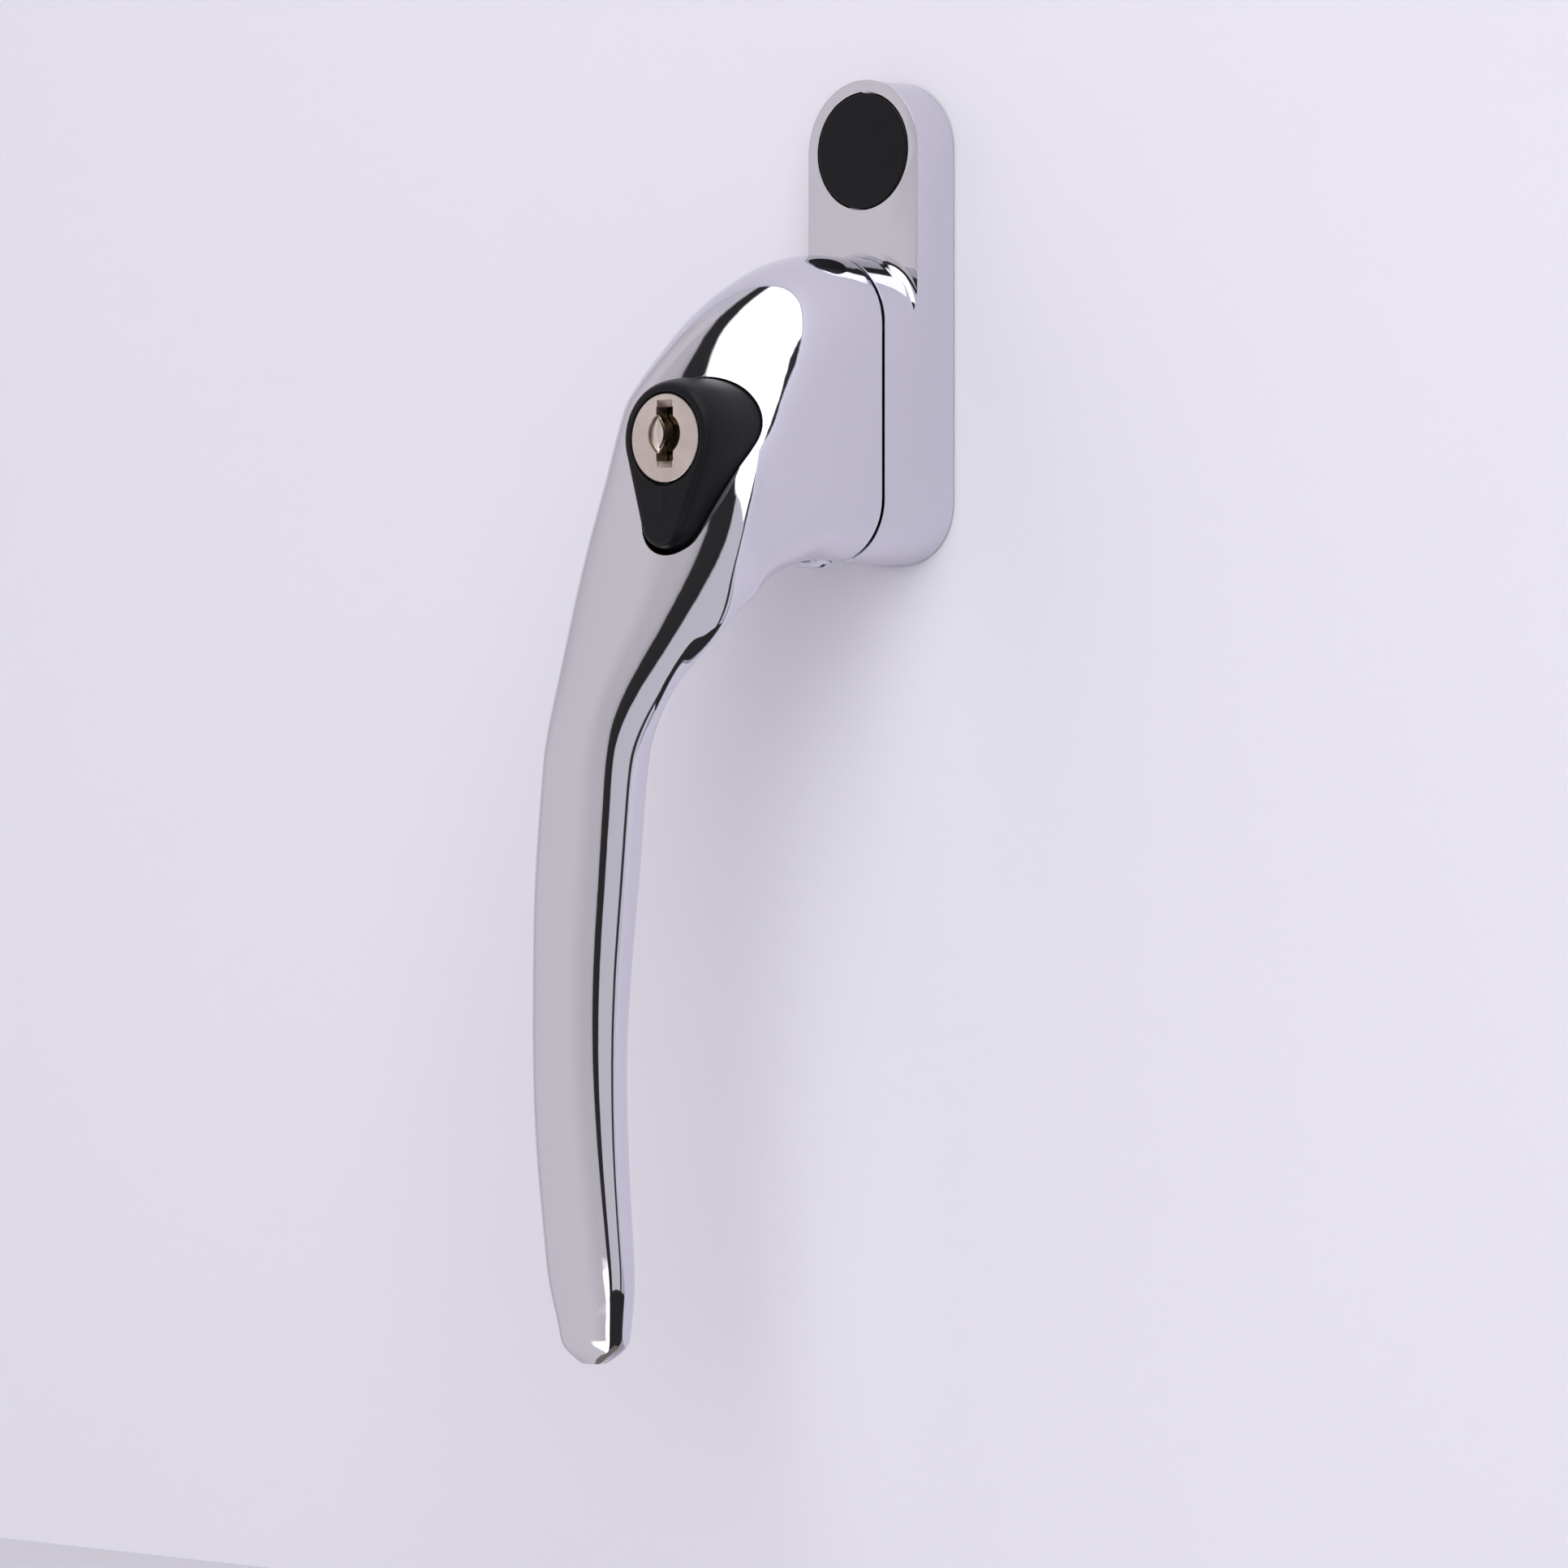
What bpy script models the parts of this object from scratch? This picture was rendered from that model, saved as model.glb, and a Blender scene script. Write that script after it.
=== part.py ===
"""Keyed window handle: a cranked espagnolette lever with a push-in lock button on a two-screw base.

+X is to the right as a person inside the room sees the handle, +Y goes into the window, +Z is up.
The lever hangs down at rest. Sizes are in millimetres from the point where the spindle axis crosses
the mounting face. The last step lowers everything, so that the world's origin is a point on the
mounting face midway between the spindle axis and the upper screw.
"""

import math

import bmesh
import bpy
from mathutils import Vector

MM = 0.001

# Base: an upright obround with a thin screw lug above the deep part that carries the lever.
FIXING_HALF_PITCH = 21.5  # the two screws stand this far above and below the spindle
ORIGIN_ABOVE_SPINDLE = FIXING_HALF_PITCH / 2
BASE_HALF_WIDTH = 8.5
BASE_BOTTOM = -28.0
BASE_BOTTOM_RADIUS = 7.5
BASE_DEPTH = 12.8
LUG_DEPTH = 6.8
SHOULDER_RADIUS = 8.56
SHOULDER_FILLET = 1.2
EDGE = 0.5

# Pivot: the lever's stub turns in a nylon bush and is held at the back by a clip.
SEAM_GAP = 0.35
HUB_BACK = -(BASE_DEPTH + SEAM_GAP)
STUB_RADIUS = 6.0
STUB_END = -0.6
BUSH_INNER = 6.15
BUSH_OUTER = 6.8
BUSH_FLANGE = 7.45
BASE_BORE = 6.95
BACK_RECESS_RADIUS = 7.75
BACK_RECESS_DEPTH = 3.1

# Spindle: a 7 mm square bar.
SPINDLE_SIDE = 7.0
SPINDLE_FRONT = -24.0
SPINDLE_TIP = 40.0
SPINDLE_PIN_RADIUS = 1.25
SPINDLE_PIN_Y = -8.0

# Screws and the cap over the upper one.
SCREW_HEAD_TOP = -4.7
SCREW_HEAD_RADIUS = 4.3
SCREW_SHANK_RADIUS = 2.4
SCREW_TIP = 26.0
SCREW_HOLE_RADIUS = 2.7
COUNTERBORE_RADIUS = 4.7
SEAT_Y = -4.6
CAP_RADIUS = 6.95

# Lock: everything in it shares an axis along Y, below the spindle.
LOCK_Z = -14.3
BUTTON_TRAVEL = 4.0
BUTTON_FACE = -42.4
BUTTON_BACK = -31.8
BUTTON_RADIUS = 7.2
BUTTON_TIP_RADIUS = 4.05
BUTTON_TIP_Z = -23.6
BUTTON_RISE = 1.1  # the face stands this much further out at the tip
BUTTON_RISE_START = LOCK_Z - 2
BUTTON_ROLL = 1.2
BUTTON_GAP = 0.2
BARREL_RADIUS = 5.6
BARREL_BACK = -28.0
PLUG_HEAD_RADIUS = 5.15
PLUG_RADIUS = 4.3
PLUG_BACK = -32.0
KEYWAY_Z = LOCK_Z + 0.5
LOCK_PIN_RADIUS = 2.0
LOCK_PIN_TIP = -14.0
SPRING_SEAT = -18.6
WAFER_YS = (-40.0, -38.0, -36.0, -34.0)
STOP_SCREW_Y = -16.2

# Lever stations, from the seam to the tip: the inner rail (y, z) and the outer rail (y, z), the left
# side, the right side at the outer and at the inner rail, then the corners: the right outer one's
# width and height, and the radii of the left outer, right inner and left inner ones. The last number
# is how far the face leans round at its right end, in degrees.
STATIONS = (
    ((HUB_BACK, -28.0), (HUB_BACK, 8.5), -8.5, 8.5, 8.5, 8.5, 8.5, 8.5, 7.5, 7.5, 7),
    ((-15.5, -28.0), (-15.5, 8.5), -8.5, 8.5, 8.5, 8.5, 8.5, 8.5, 7.5, 7.5, 7),
    ((-19.0, -28.0), (-19.5, 8.0), -8.5, 8.5, 8.5, 8.5, 8.5, 8.0, 7.5, 7.5, 8),
    ((-24.0, -29.0), (-26.0, 5.5), -8.5, 8.5, 8.5, 9.0, 10.0, 7.5, 7.0, 7.0, 34),
    ((-28.5, -30.5), (-32.0, 1.0), -9.5, 8.5, 8.5, 9.5, 11.5, 6.5, 6.5, 6.0, 50),
    ((-32.0, -32.0), (-35.5, -3.5), -10.5, 8.5, 8.5, 9.0, 10.5, 5.5, 5.0, 6.0, 44),
    ((-35.0, -33.5), (-38.5, -9.5), -12.0, 8.5, 9.0, 8.0, 8.0, 4.0, 4.0, 5.0, 32),
    ((-37.5, -35.5), (-40.5, -17.5), -13.0, 9.5, 8.5, 7.5, 6.0, 3.0, 3.0, 4.0, 20),
    ((-39.0, -38.5), (-42.5, -26.0), -14.0, 8.0, 6.5, 6.5, 4.0, 2.5, 2.5, 3.5, 10),
    ((-40.0, -42.0), (-44.5, -35.5), -15.0, 4.0, 2.0, 6.0, 2.5, 2.5, 2.0, 3.0, 5),
    ((-40.5, -48.0), (-46.0, -45.5), -16.0, -1.5, -2.0, 4.5, 3.0, 2.0, 2.0, 3.0, 7),
    ((-41.0, -56.0), (-47.0, -55.0), -16.5, -3.0, -3.0, 4.0, 3.0, 2.0, 2.0, 2.5, 7),
    ((-42.0, -66.0), (-47.5, -66.0), -17.0, -3.5, -3.5, 4.0, 3.0, 2.0, 2.0, 2.5, 7),
    ((-42.5, -77.0), (-48.0, -77.0), -17.0, -4.0, -4.0, 3.5, 2.5, 2.0, 2.0, 2.5, 7),
    ((-42.5, -88.0), (-48.0, -88.0), -17.0, -4.5, -4.5, 3.0, 2.5, 2.0, 2.0, 2.0, 7),
    ((-42.5, -98.0), (-47.5, -98.0), -16.5, -4.5, -4.5, 2.5, 2.0, 2.0, 2.0, 2.0, 7),
    ((-42.0, -107.0), (-46.5, -107.0), -16.0, -4.5, -4.5, 2.0, 2.0, 1.5, 1.5, 2.0, 7),
    ((-42.0, -113.5), (-46.0, -113.5), -15.5, -4.5, -4.5, 2.0, 1.5, 1.5, 1.5, 2.0, 7),
    ((-42.0, -118.0), (-45.5, -118.0), -14.5, -5.0, -5.0, 1.5, 1.5, 1.5, 1.5, 1.5, 7),
    ((-42.5, -120.5), (-45.0, -120.5), -13.5, -6.0, -6.0, 1.0, 1.0, 1.0, 1.0, 1.5, 7),
    ((-43.0, -121.8), (-44.2, -121.8), -11.5, -8.5, -8.5, 0.5, 0.5, 0.5, 0.5, 0.5, 7),
)
FACE_LEFT_TURN = 6.8  # degrees the face turns back at its left end, less FACE_TWIST of its lean
FACE_TWIST = 0.4
RINGS_PER_STATION = 2
CORNER_STEPS = 4
FLANK_STEPS = 3
SPINE_STIFFNESS = 0.36
SPINE_STEPS = 16


def set_world_origin():
    """Lowers every object, helpers included, so that the origin is on the mounting face."""
    for obj in bpy.data.objects:
        obj.location.z -= ORIGIN_ABOVE_SPINDLE * MM


def clear_scene():
    for obj in list(bpy.data.objects):
        bpy.data.objects.remove(obj)


def collection(name):
    made = bpy.data.collections.new(name)
    bpy.context.scene.collection.children.link(made)
    return made


def material(name, colour, roughness, metallic):
    made = bpy.data.materials.new(name)
    made.use_nodes = True
    shader = made.node_tree.nodes["Principled BSDF"]
    shader.inputs["Base Color"].default_value = (*colour, 1.0)
    shader.inputs["Roughness"].default_value = roughness
    shader.inputs["Metallic"].default_value = metallic
    return made


def add_object(name, data, group, finish=None):
    obj = bpy.data.objects.new(name, data)
    group.objects.link(obj)
    if finish:
        obj.data.materials.clear()
        obj.data.materials.append(finish)
    return obj


def mesh_object(name, bm, group, finish=None):
    mesh = bpy.data.meshes.new(name)
    bmesh.ops.recalc_face_normals(bm, faces=bm.faces)
    bm.to_mesh(mesh)
    bm.free()
    return add_object(name, mesh, group, finish)


def smooth(obj, angle=35):
    obj.data.shade_smooth()
    obj.data.set_sharp_from_angle(angle=math.radians(angle))


def set_origin(obj, origin):
    """Moves an object's origin to a point in mm without moving its shape. The object is unrotated."""
    point = Vector(origin) * MM
    for vertex in obj.data.vertices:
        vertex.co -= point
    obj.location = point


def box(name, low, high, group, finish=None):
    """A block between two corners in mm."""
    bm = bmesh.new()
    bmesh.ops.create_cube(bm, size=1.0)
    for vertex in bm.verts:
        for axis in range(3):
            middle = (low[axis] + high[axis]) / 2
            vertex.co[axis] = (middle + vertex.co[axis] * (high[axis] - low[axis])) * MM
    return mesh_object(name, bm, group, finish)


def turned(name, profile, centre, group, finish=None, steps=32):
    """A body of revolution about the line through centre (x, z) along Y.

    The profile is (radius, y) points in mm running from the far end (+Y) down its outer side. A
    profile that leaves and meets the axis is a solid; any other is closed into a ring.
    """
    mesh = bpy.data.meshes.new(name)
    points = [(radius * MM, 0.0, y * MM) for radius, y in profile]
    edges = [(i, i + 1) for i in range(len(points) - 1)]
    if profile[0][0] > 0:
        edges.append((len(points) - 1, 0))
    mesh.from_pydata(points, edges, [])
    obj = add_object(name, mesh, group, finish)
    obj.rotation_euler = (-math.pi / 2, 0, 0)
    obj.location = (centre[0] * MM, 0, centre[1] * MM)
    screw = obj.modifiers.new("turn", "SCREW")
    screw.steps = screw.render_steps = steps
    screw.use_merge_vertices = True
    screw.merge_threshold = 0.000001
    screw.use_smooth_shade = True
    return obj


def pin(name, radius, start, end, group, finish=None, sides=16):
    """A plain cylinder between two points in mm."""
    first, last = Vector(start), Vector(end)
    bm = bmesh.new()
    length = (last - first).length
    bmesh.ops.create_cone(bm, cap_ends=True, segments=sides, radius1=radius * MM,
                          radius2=radius * MM, depth=length * MM)
    obj = mesh_object(name, bm, group, finish)
    obj.location = (first + last) / 2 * MM
    obj.rotation_mode = "QUATERNION"
    obj.rotation_quaternion = (last - first).to_track_quat("Z", "Y")
    smooth(obj)
    return obj


def arc(centre, radius, start, end, steps):
    """Points on an arc in the XZ plane, with angles in degrees from +X towards +Z."""
    turns = [math.radians(start + (end - start) * i / steps) for i in range(steps + 1)]
    return [(centre[0] + radius * math.cos(a), centre[1] + radius * math.sin(a)) for a in turns]


def prism(name, outline, near, far, group, finish=None):
    """An outline of (x, z) points in mm, made solid between two y values by a flat filled curve."""
    curve = bpy.data.curves.new(name, "CURVE")
    curve.dimensions = "2D"
    curve.fill_mode = "BOTH"
    curve.extrude = abs(far - near) / 2 * MM
    spline = curve.splines.new("POLY")
    spline.points.add(len(outline) - 1)
    for point, (x, z) in zip(spline.points, outline):
        point.co = (x * MM, z * MM, 0, 1)
    spline.use_cyclic_u = True
    guide = add_object(name + "_outline", curve, group)
    guide.rotation_euler = (math.pi / 2, 0, 0)
    guide.location = (0, (near + far) / 2 * MM, 0)
    return curve_to_mesh(guide, name, group, finish)


def curve_to_mesh(guide, name, group, finish=None):
    """Turns a curve object into a welded mesh object in the same place."""
    bpy.context.view_layer.update()
    graph = bpy.context.evaluated_depsgraph_get()
    mesh = bpy.data.meshes.new_from_object(guide.evaluated_get(graph))
    bm = bmesh.new()
    bm.from_mesh(mesh)
    bmesh.ops.remove_doubles(bm, verts=bm.verts, dist=0.000002)
    bmesh.ops.recalc_face_normals(bm, faces=bm.faces)
    bm.to_mesh(mesh)
    bm.free()
    obj = add_object(name, mesh, group, finish)
    obj.matrix_world = guide.matrix_world
    bpy.data.objects.remove(guide)
    return obj


def coil(name, centre, axis, radius, wire, length, turns, finish, steps=10):
    """A round-wire spring starting at centre and running along a unit axis, as a poly spline."""
    curve = bpy.data.curves.new(name, "CURVE")
    curve.dimensions = "3D"
    curve.bevel_depth = wire * MM
    curve.bevel_resolution = 1
    curve.use_fill_caps = True
    direction = Vector(axis)
    side = direction.orthogonal().normalized()
    up = direction.cross(side)
    count = int(turns * steps) + 1
    spline = curve.splines.new("POLY")
    spline.points.add(count - 1)
    for i, point in enumerate(spline.points):
        share = i / (count - 1)
        angle = 2 * math.pi * turns * share
        place = Vector(centre) + direction * (length * share)
        place += (side * math.cos(angle) + up * math.sin(angle)) * radius
        point.co = (*(place * MM), 1)
    return add_object(name, curve, PARTS, finish)


def boolean(target, tool, operation="DIFFERENCE"):
    """Cuts or joins target with tool. The tool becomes a hidden helper."""
    modifier = target.modifiers.new(operation.lower(), "BOOLEAN")
    modifier.operation = operation
    modifier.object = tool
    tool.hide_render = True
    tool.display_type = "WIRE"


def round_edges(obj, width, segments=2, angle=50):
    modifier = obj.modifiers.new("edges", "BEVEL")
    modifier.width = width * MM
    modifier.segments = segments
    modifier.limit_method = "ANGLE"
    modifier.angle_limit = math.radians(angle)


def teardrop(grow, steps=14):
    """The button's outline in (x, z) mm: a large circle round the lock and a small one below it."""
    big, small = BUTTON_RADIUS + grow, BUTTON_TIP_RADIUS + grow
    lean = math.degrees(math.asin((big - small) / (LOCK_Z - BUTTON_TIP_Z)))
    top = arc((0, LOCK_Z), big, -lean, 180 + lean, steps)
    tip = arc((0, BUTTON_TIP_Z), small, 180 + lean, 360 - lean, steps // 2)
    return top + tip


def loft(name, rings, group, finish=None):
    """Skins closed rings of equal point count, with a flat start and an end fanned from its middle."""
    bm = bmesh.new()
    made = [[bm.verts.new(Vector(point) * MM) for point in ring] for ring in rings]
    count = len(rings[0])
    for first, second in zip(made, made[1:]):
        for i in range(count):
            j = (i + 1) % count
            bm.faces.new((first[i], first[j], second[j], second[i]))
    bm.faces.new(made[0])
    tip = bm.verts.new(sum((vert.co for vert in made[-1]), Vector()) / count)
    for i in range(count):
        bm.faces.new((made[-1][i], made[-1][(i + 1) % count], tip))
    return mesh_object(name, bm, group, finish)


def blend(values, t):
    """Catmull-Rom through a row of numbers at station position t."""
    last = len(values) - 1
    i = min(int(t), last - 1)
    f = t - i
    p0, p1, p2, p3 = (values[max(0, min(last, k))] for k in (i - 1, i, i + 1, i + 2))
    slope1, slope2 = (p2 - p0) / 2, (p3 - p1) / 2
    return ((2 * f**3 - 3 * f**2 + 1) * p1 + (f**3 - 2 * f**2 + f) * slope1
            + (3 * f**2 - 2 * f**3) * p2 + (f**3 - f**2) * slope2)


def rail(t, which):
    """A point on the lever's inner (0) or outer (1) rail, and the direction into the lever there."""
    ys, zs = zip(*[station[which] for station in STATIONS])
    before, after = max(t - 0.05, 0), min(t + 0.05, len(STATIONS) - 1)
    along_y, along_z = blend(ys, after) - blend(ys, before), blend(zs, after) - blend(zs, before)
    length = math.hypot(along_y, along_z) * (1 if which else -1)
    return blend(ys, t), blend(zs, t), -along_z / length, along_y / length


def spine(t):
    """How the lever's depth runs at station position t: a curve square to both of its rails.

    Returns the curve's length in mm and a function from depth below the outer rail to (y, z).
    """
    (y0, z0, in_y0, in_z0), (y1, z1, in_y1, in_z1) = rail(t, 0), rail(t, 1)
    reach = math.hypot(y1 - y0, z1 - z0) * SPINE_STIFFNESS
    row = ((y1, z1), (y1 + in_y1 * reach, z1 + in_z1 * reach),
           (y0 + in_y0 * reach, z0 + in_z0 * reach), (y0, z0))
    points = []
    for step in range(SPINE_STEPS + 1):
        f = step / SPINE_STEPS
        weights = (1 - f)**3, 3 * f * (1 - f)**2, 3 * f**2 * (1 - f), f**3
        points.append([sum(w * p[k] for w, p in zip(weights, row)) for k in range(2)])
    depths = [0.0]
    for first, second in zip(points, points[1:]):
        depths.append(depths[-1] + math.dist(first, second))

    def at(depth):
        i = 0
        while i < SPINE_STEPS - 1 and depths[i + 1] < depth:
            i += 1
        f = (depth - depths[i]) / (depths[i + 1] - depths[i])
        return [points[i][k] + f * (points[i + 1][k] - points[i][k]) for k in range(2)]

    return depths[-1], at


def flank_angle(across, tall, wide, high, foot_r):
    """How far the line that touches an ellipse above and a circle below leans back, in degrees."""
    low, top = -80.0, 85.0
    while top - low > 0.01:
        middle = (low + top) / 2
        sine, cosine = math.sin(math.radians(middle)), math.cos(math.radians(middle))
        reach = across * cosine - tall * sine + math.hypot(wide * cosine, high * sine) - foot_r
        low, top = (middle, top) if reach > 0 else (low, middle)
    return low


def lever_section(t, steps):
    """One loop round the lever at station position t, as (x, y, z) points in mm.

    Its outer face is one flat arc between two rounded corners, and its right flank is the straight
    line that touches both right corners. The arcs meet without a kink.
    """
    left, right, foot, wide, high, left_r, foot_r, heel_r, lean = (
        blend(column, t) for column in zip(*[station[2:] for station in STATIONS]))
    left_turn = FACE_LEFT_TURN - FACE_TWIST * lean
    sine, left_sine = math.sin(math.radians(lean)), math.sin(math.radians(left_turn))
    cosine, left_cosine = math.cos(math.radians(lean)), math.cos(math.radians(left_turn))
    turn = math.atan2(high * cosine, wide * sine)
    crown_r = right - wide * (1 - math.cos(turn)) - left - left_r * (1 - left_sine)
    crown_r = max(crown_r, 0.01) / (sine + left_sine)
    middle = right - wide * (1 - math.cos(turn)) - crown_r * sine
    right_drop = crown_r * (1 - cosine) + high * math.sin(turn)
    left_drop = crown_r + (left_r - crown_r) * left_cosine
    deep, at = spine(t)
    flank = flank_angle(right - wide - foot + foot_r, deep - foot_r - right_drop, wide, high, foot_r)
    down = math.degrees(math.atan2(high * math.sin(math.radians(flank)),
                                   wide * math.cos(math.radians(flank))))
    arcs = (
        (right - wide, right_drop, wide, high, -down, math.degrees(turn)),
        (middle, crown_r, crown_r, crown_r, 90 - lean, 90 + left_turn),
        (left + left_r, left_drop, left_r, left_r, 90 + left_turn, 180),
        (left + heel_r, deep - heel_r, heel_r, heel_r, 180, 270),
        (foot - foot_r, deep - foot_r, foot_r, foot_r, 270, 360 - flank),
    )
    outline = []
    for x, depth, x_r, depth_r, start, end in arcs:
        for step in range(steps + (end >= 180)):
            angle = math.radians(start + (end - start) * step / steps)
            outline.append((x + x_r * math.cos(angle), depth - depth_r * math.sin(angle)))
    (foot_x, foot_depth), (top_x, top_depth) = outline[-1], outline[0]
    for step in range(1, FLANK_STEPS):
        f = step / FLANK_STEPS
        outline.append((foot_x + f * (top_x - foot_x), foot_depth + f * (top_depth - foot_depth)))
    return [(x, *at(depth)) for x, depth in outline]


def base_outline():
    r, w, bottom = BASE_BOTTOM_RADIUS, BASE_HALF_WIDTH, BASE_BOTTOM + BASE_BOTTOM_RADIUS
    return (arc((0, FIXING_HALF_PITCH), w, 0, 180, 20)
            + arc((-w + r, bottom), r, 180, 270, 8) + arc((w - r, bottom), r, 270, 360, 8))


def base_plate():
    base = prism("base_plate", base_outline(), -BASE_DEPTH, 0, PARTS, CHROME)
    round_edges(base, EDGE)
    above = box("lug_relief", (-12, -BASE_DEPTH - 2, 0), (12, -LUG_DEPTH, 34), CUTTERS)
    fillet_start = -LUG_DEPTH - SHOULDER_FILLET
    boolean(above, turned("shoulder", [
        (0, -LUG_DEPTH + 1), (SHOULDER_RADIUS + SHOULDER_FILLET, -LUG_DEPTH + 1),
        (SHOULDER_RADIUS + SHOULDER_FILLET, -LUG_DEPTH),
        (SHOULDER_RADIUS + 0.3 * SHOULDER_FILLET, fillet_start + 0.7 * SHOULDER_FILLET),
        (SHOULDER_RADIUS, fillet_start), (SHOULDER_RADIUS, -BASE_DEPTH - 3),
        (0, -BASE_DEPTH - 3)], (0, 0), CUTTERS, steps=48))
    boolean(base, above)
    boolean(base, turned("pivot_bore", [
        (0, 1), (BACK_RECESS_RADIUS, 1), (BACK_RECESS_RADIUS, -BACK_RECESS_DEPTH),
        (BASE_BORE, -BACK_RECESS_DEPTH), (BASE_BORE, -12.1), (BUSH_FLANGE + 0.25, -12.1),
        (BUSH_FLANGE + 0.25, -14), (0, -14)], (0, 0), CUTTERS))
    hole = [(0, 1), (SCREW_HOLE_RADIUS, 1), (SCREW_HOLE_RADIUS, -2.4)]
    boolean(base, turned("upper_screw_hole", hole + [
        (COUNTERBORE_RADIUS - 0.1, SEAT_Y), (CAP_RADIUS + 0.15, SEAT_Y),
        (CAP_RADIUS + 0.15, -LUG_DEPTH - 1), (0, -LUG_DEPTH - 1)],
        (0, FIXING_HALF_PITCH), CUTTERS))
    boolean(base, turned("lower_screw_hole", hole + [
        (COUNTERBORE_RADIUS, SEAT_Y), (COUNTERBORE_RADIUS, -14), (0, -14)],
        (0, -FIXING_HALF_PITCH), CUTTERS))
    boolean(base, pin("keeper_hole", LOCK_PIN_RADIUS + 0.25, (0, -14, LOCK_Z),
                      (0, LOCK_PIN_TIP + BUTTON_TRAVEL + 1.2, LOCK_Z), CUTTERS, sides=24))
    boolean(base, box("detent_trough", (-1.65, -4.6, -15.6), (1.65, 1, -6.5), CUTTERS))


def pivot_parts():
    turned("pivot_bush", [
        (BUSH_OUTER, -3.4), (BUSH_OUTER, -12.15), (BUSH_FLANGE, -12.15), (BUSH_FLANGE, -12.7),
        (BUSH_INNER, -12.7), (BUSH_INNER, -3.4)], (0, 0), PARTS, NYLON)
    washer = turned("click_washer", [
        (7.4, -2.25), (7.4, -2.95), (STUB_RADIUS + 0.15, -2.95), (STUB_RADIUS + 0.15, -2.25)],
        (0, 0), PARTS, STEEL)
    for turn in (0, 90):
        away = math.radians(turn - 90)
        notch = Vector((math.cos(away), 0, math.sin(away))) * 8.4
        boolean(washer, pin(f"click_notch_{turn}", 1.4, notch - Vector((0, 4, 0)), notch, CUTTERS))
    clip = turned("retaining_clip", [
        (7.2, -1.4), (7.2, -2.05), (5.45, -2.05), (5.45, -1.4)], (0, 0), PARTS, STEEL)
    boolean(clip, box("clip_mouth", (-2.2, -3, 0), (2.2, 0, 9), CUTTERS))
    wave_washer()
    roller_z = -(7.4 + 0.1 + 1.35)
    pin("detent_roller", 1.35, (0, -4.2, roller_z), (0, -1.4, roller_z), PARTS, STEEL)
    coil("detent_spring", (0, -2.8, -15.2), (0, 0, 1), 1.05, 0.22, 4.7, 5, STEEL)


def wave_washer(around=36, across=2):
    """A thin ring that rises and falls three times, thickened by Solidify."""
    bm = bmesh.new()
    grid = []
    for i in range(around):
        angle = 2 * math.pi * i / around
        lift = -13.42 + 0.3 * math.cos(3 * angle)
        radii = [6.25 + 1.2 * k / across for k in range(across + 1)]
        grid.append([bm.verts.new(Vector((r * math.cos(angle), lift, r * math.sin(angle))) * MM)
                     for r in radii])
    for i in range(around):
        for k in range(across):
            a, b = grid[i], grid[(i + 1) % around]
            bm.faces.new((a[k], a[k + 1], b[k + 1], b[k]))
    washer = mesh_object("wave_washer", bm, PARTS, STEEL)
    solid = washer.modifiers.new("thickness", "SOLIDIFY")
    solid.thickness = 0.25 * MM
    solid.offset = 0


def screw(name, z):
    """A countersunk cross-head machine screw seen from the front, running back into the window."""
    head = turned(name, [
        (0, SCREW_TIP), (SCREW_SHANK_RADIUS - 0.9, SCREW_TIP),
        (SCREW_SHANK_RADIUS, SCREW_TIP - 1.2), (SCREW_SHANK_RADIUS, SCREW_HEAD_TOP + 2.2),
        (SCREW_HEAD_RADIUS, SCREW_HEAD_TOP + 0.3), (SCREW_HEAD_RADIUS, SCREW_HEAD_TOP),
        (0, SCREW_HEAD_TOP)], (0, z), PARTS, STEEL, steps=24)
    top, floor = SCREW_HEAD_TOP - 1, SCREW_HEAD_TOP + 1.5
    boolean(head, box(name + "_slot_a", (-2.2, top, z - 0.5), (2.2, floor, z + 0.5), CUTTERS))
    boolean(head, box(name + "_slot_b", (-0.5, top, z - 2.2), (0.5, floor, z + 2.2), CUTTERS))


def screws_and_cap():
    screw("fixing_screw_upper", FIXING_HALF_PITCH)
    screw("fixing_screw_lower", -FIXING_HALF_PITCH)
    face = -LUG_DEPTH - 0.15
    turned("screw_cap", [
        (0, -5.2), (5.4, -5.2), (5.4, -4.8), (6.5, -4.8), (6.5, -5.2), (CAP_RADIUS, -5.5),
        (CAP_RADIUS, face + 0.3), (CAP_RADIUS - 0.3, face), (0, face)],
        (0, FIXING_HALF_PITCH), PARTS, BLACK, steps=40)


def spindle():
    half = SPINDLE_SIDE / 2
    bar = box("spindle", (-half, SPINDLE_FRONT, -half), (half, SPINDLE_TIP, half), PARTS, STEEL)
    round_edges(bar, 0.6, segments=1)
    across = SPINDLE_PIN_RADIUS + 0.15
    drill = pin("spindle_cross_hole", across, (-9, SPINDLE_PIN_Y, 0), (9, SPINDLE_PIN_Y, 0), CUTTERS)
    boolean(bar, drill)
    pin("spindle_pin", SPINDLE_PIN_RADIUS, (-5.8, SPINDLE_PIN_Y, 0), (5.8, SPINDLE_PIN_Y, 0),
        PARTS, STEEL)
    return drill


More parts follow.
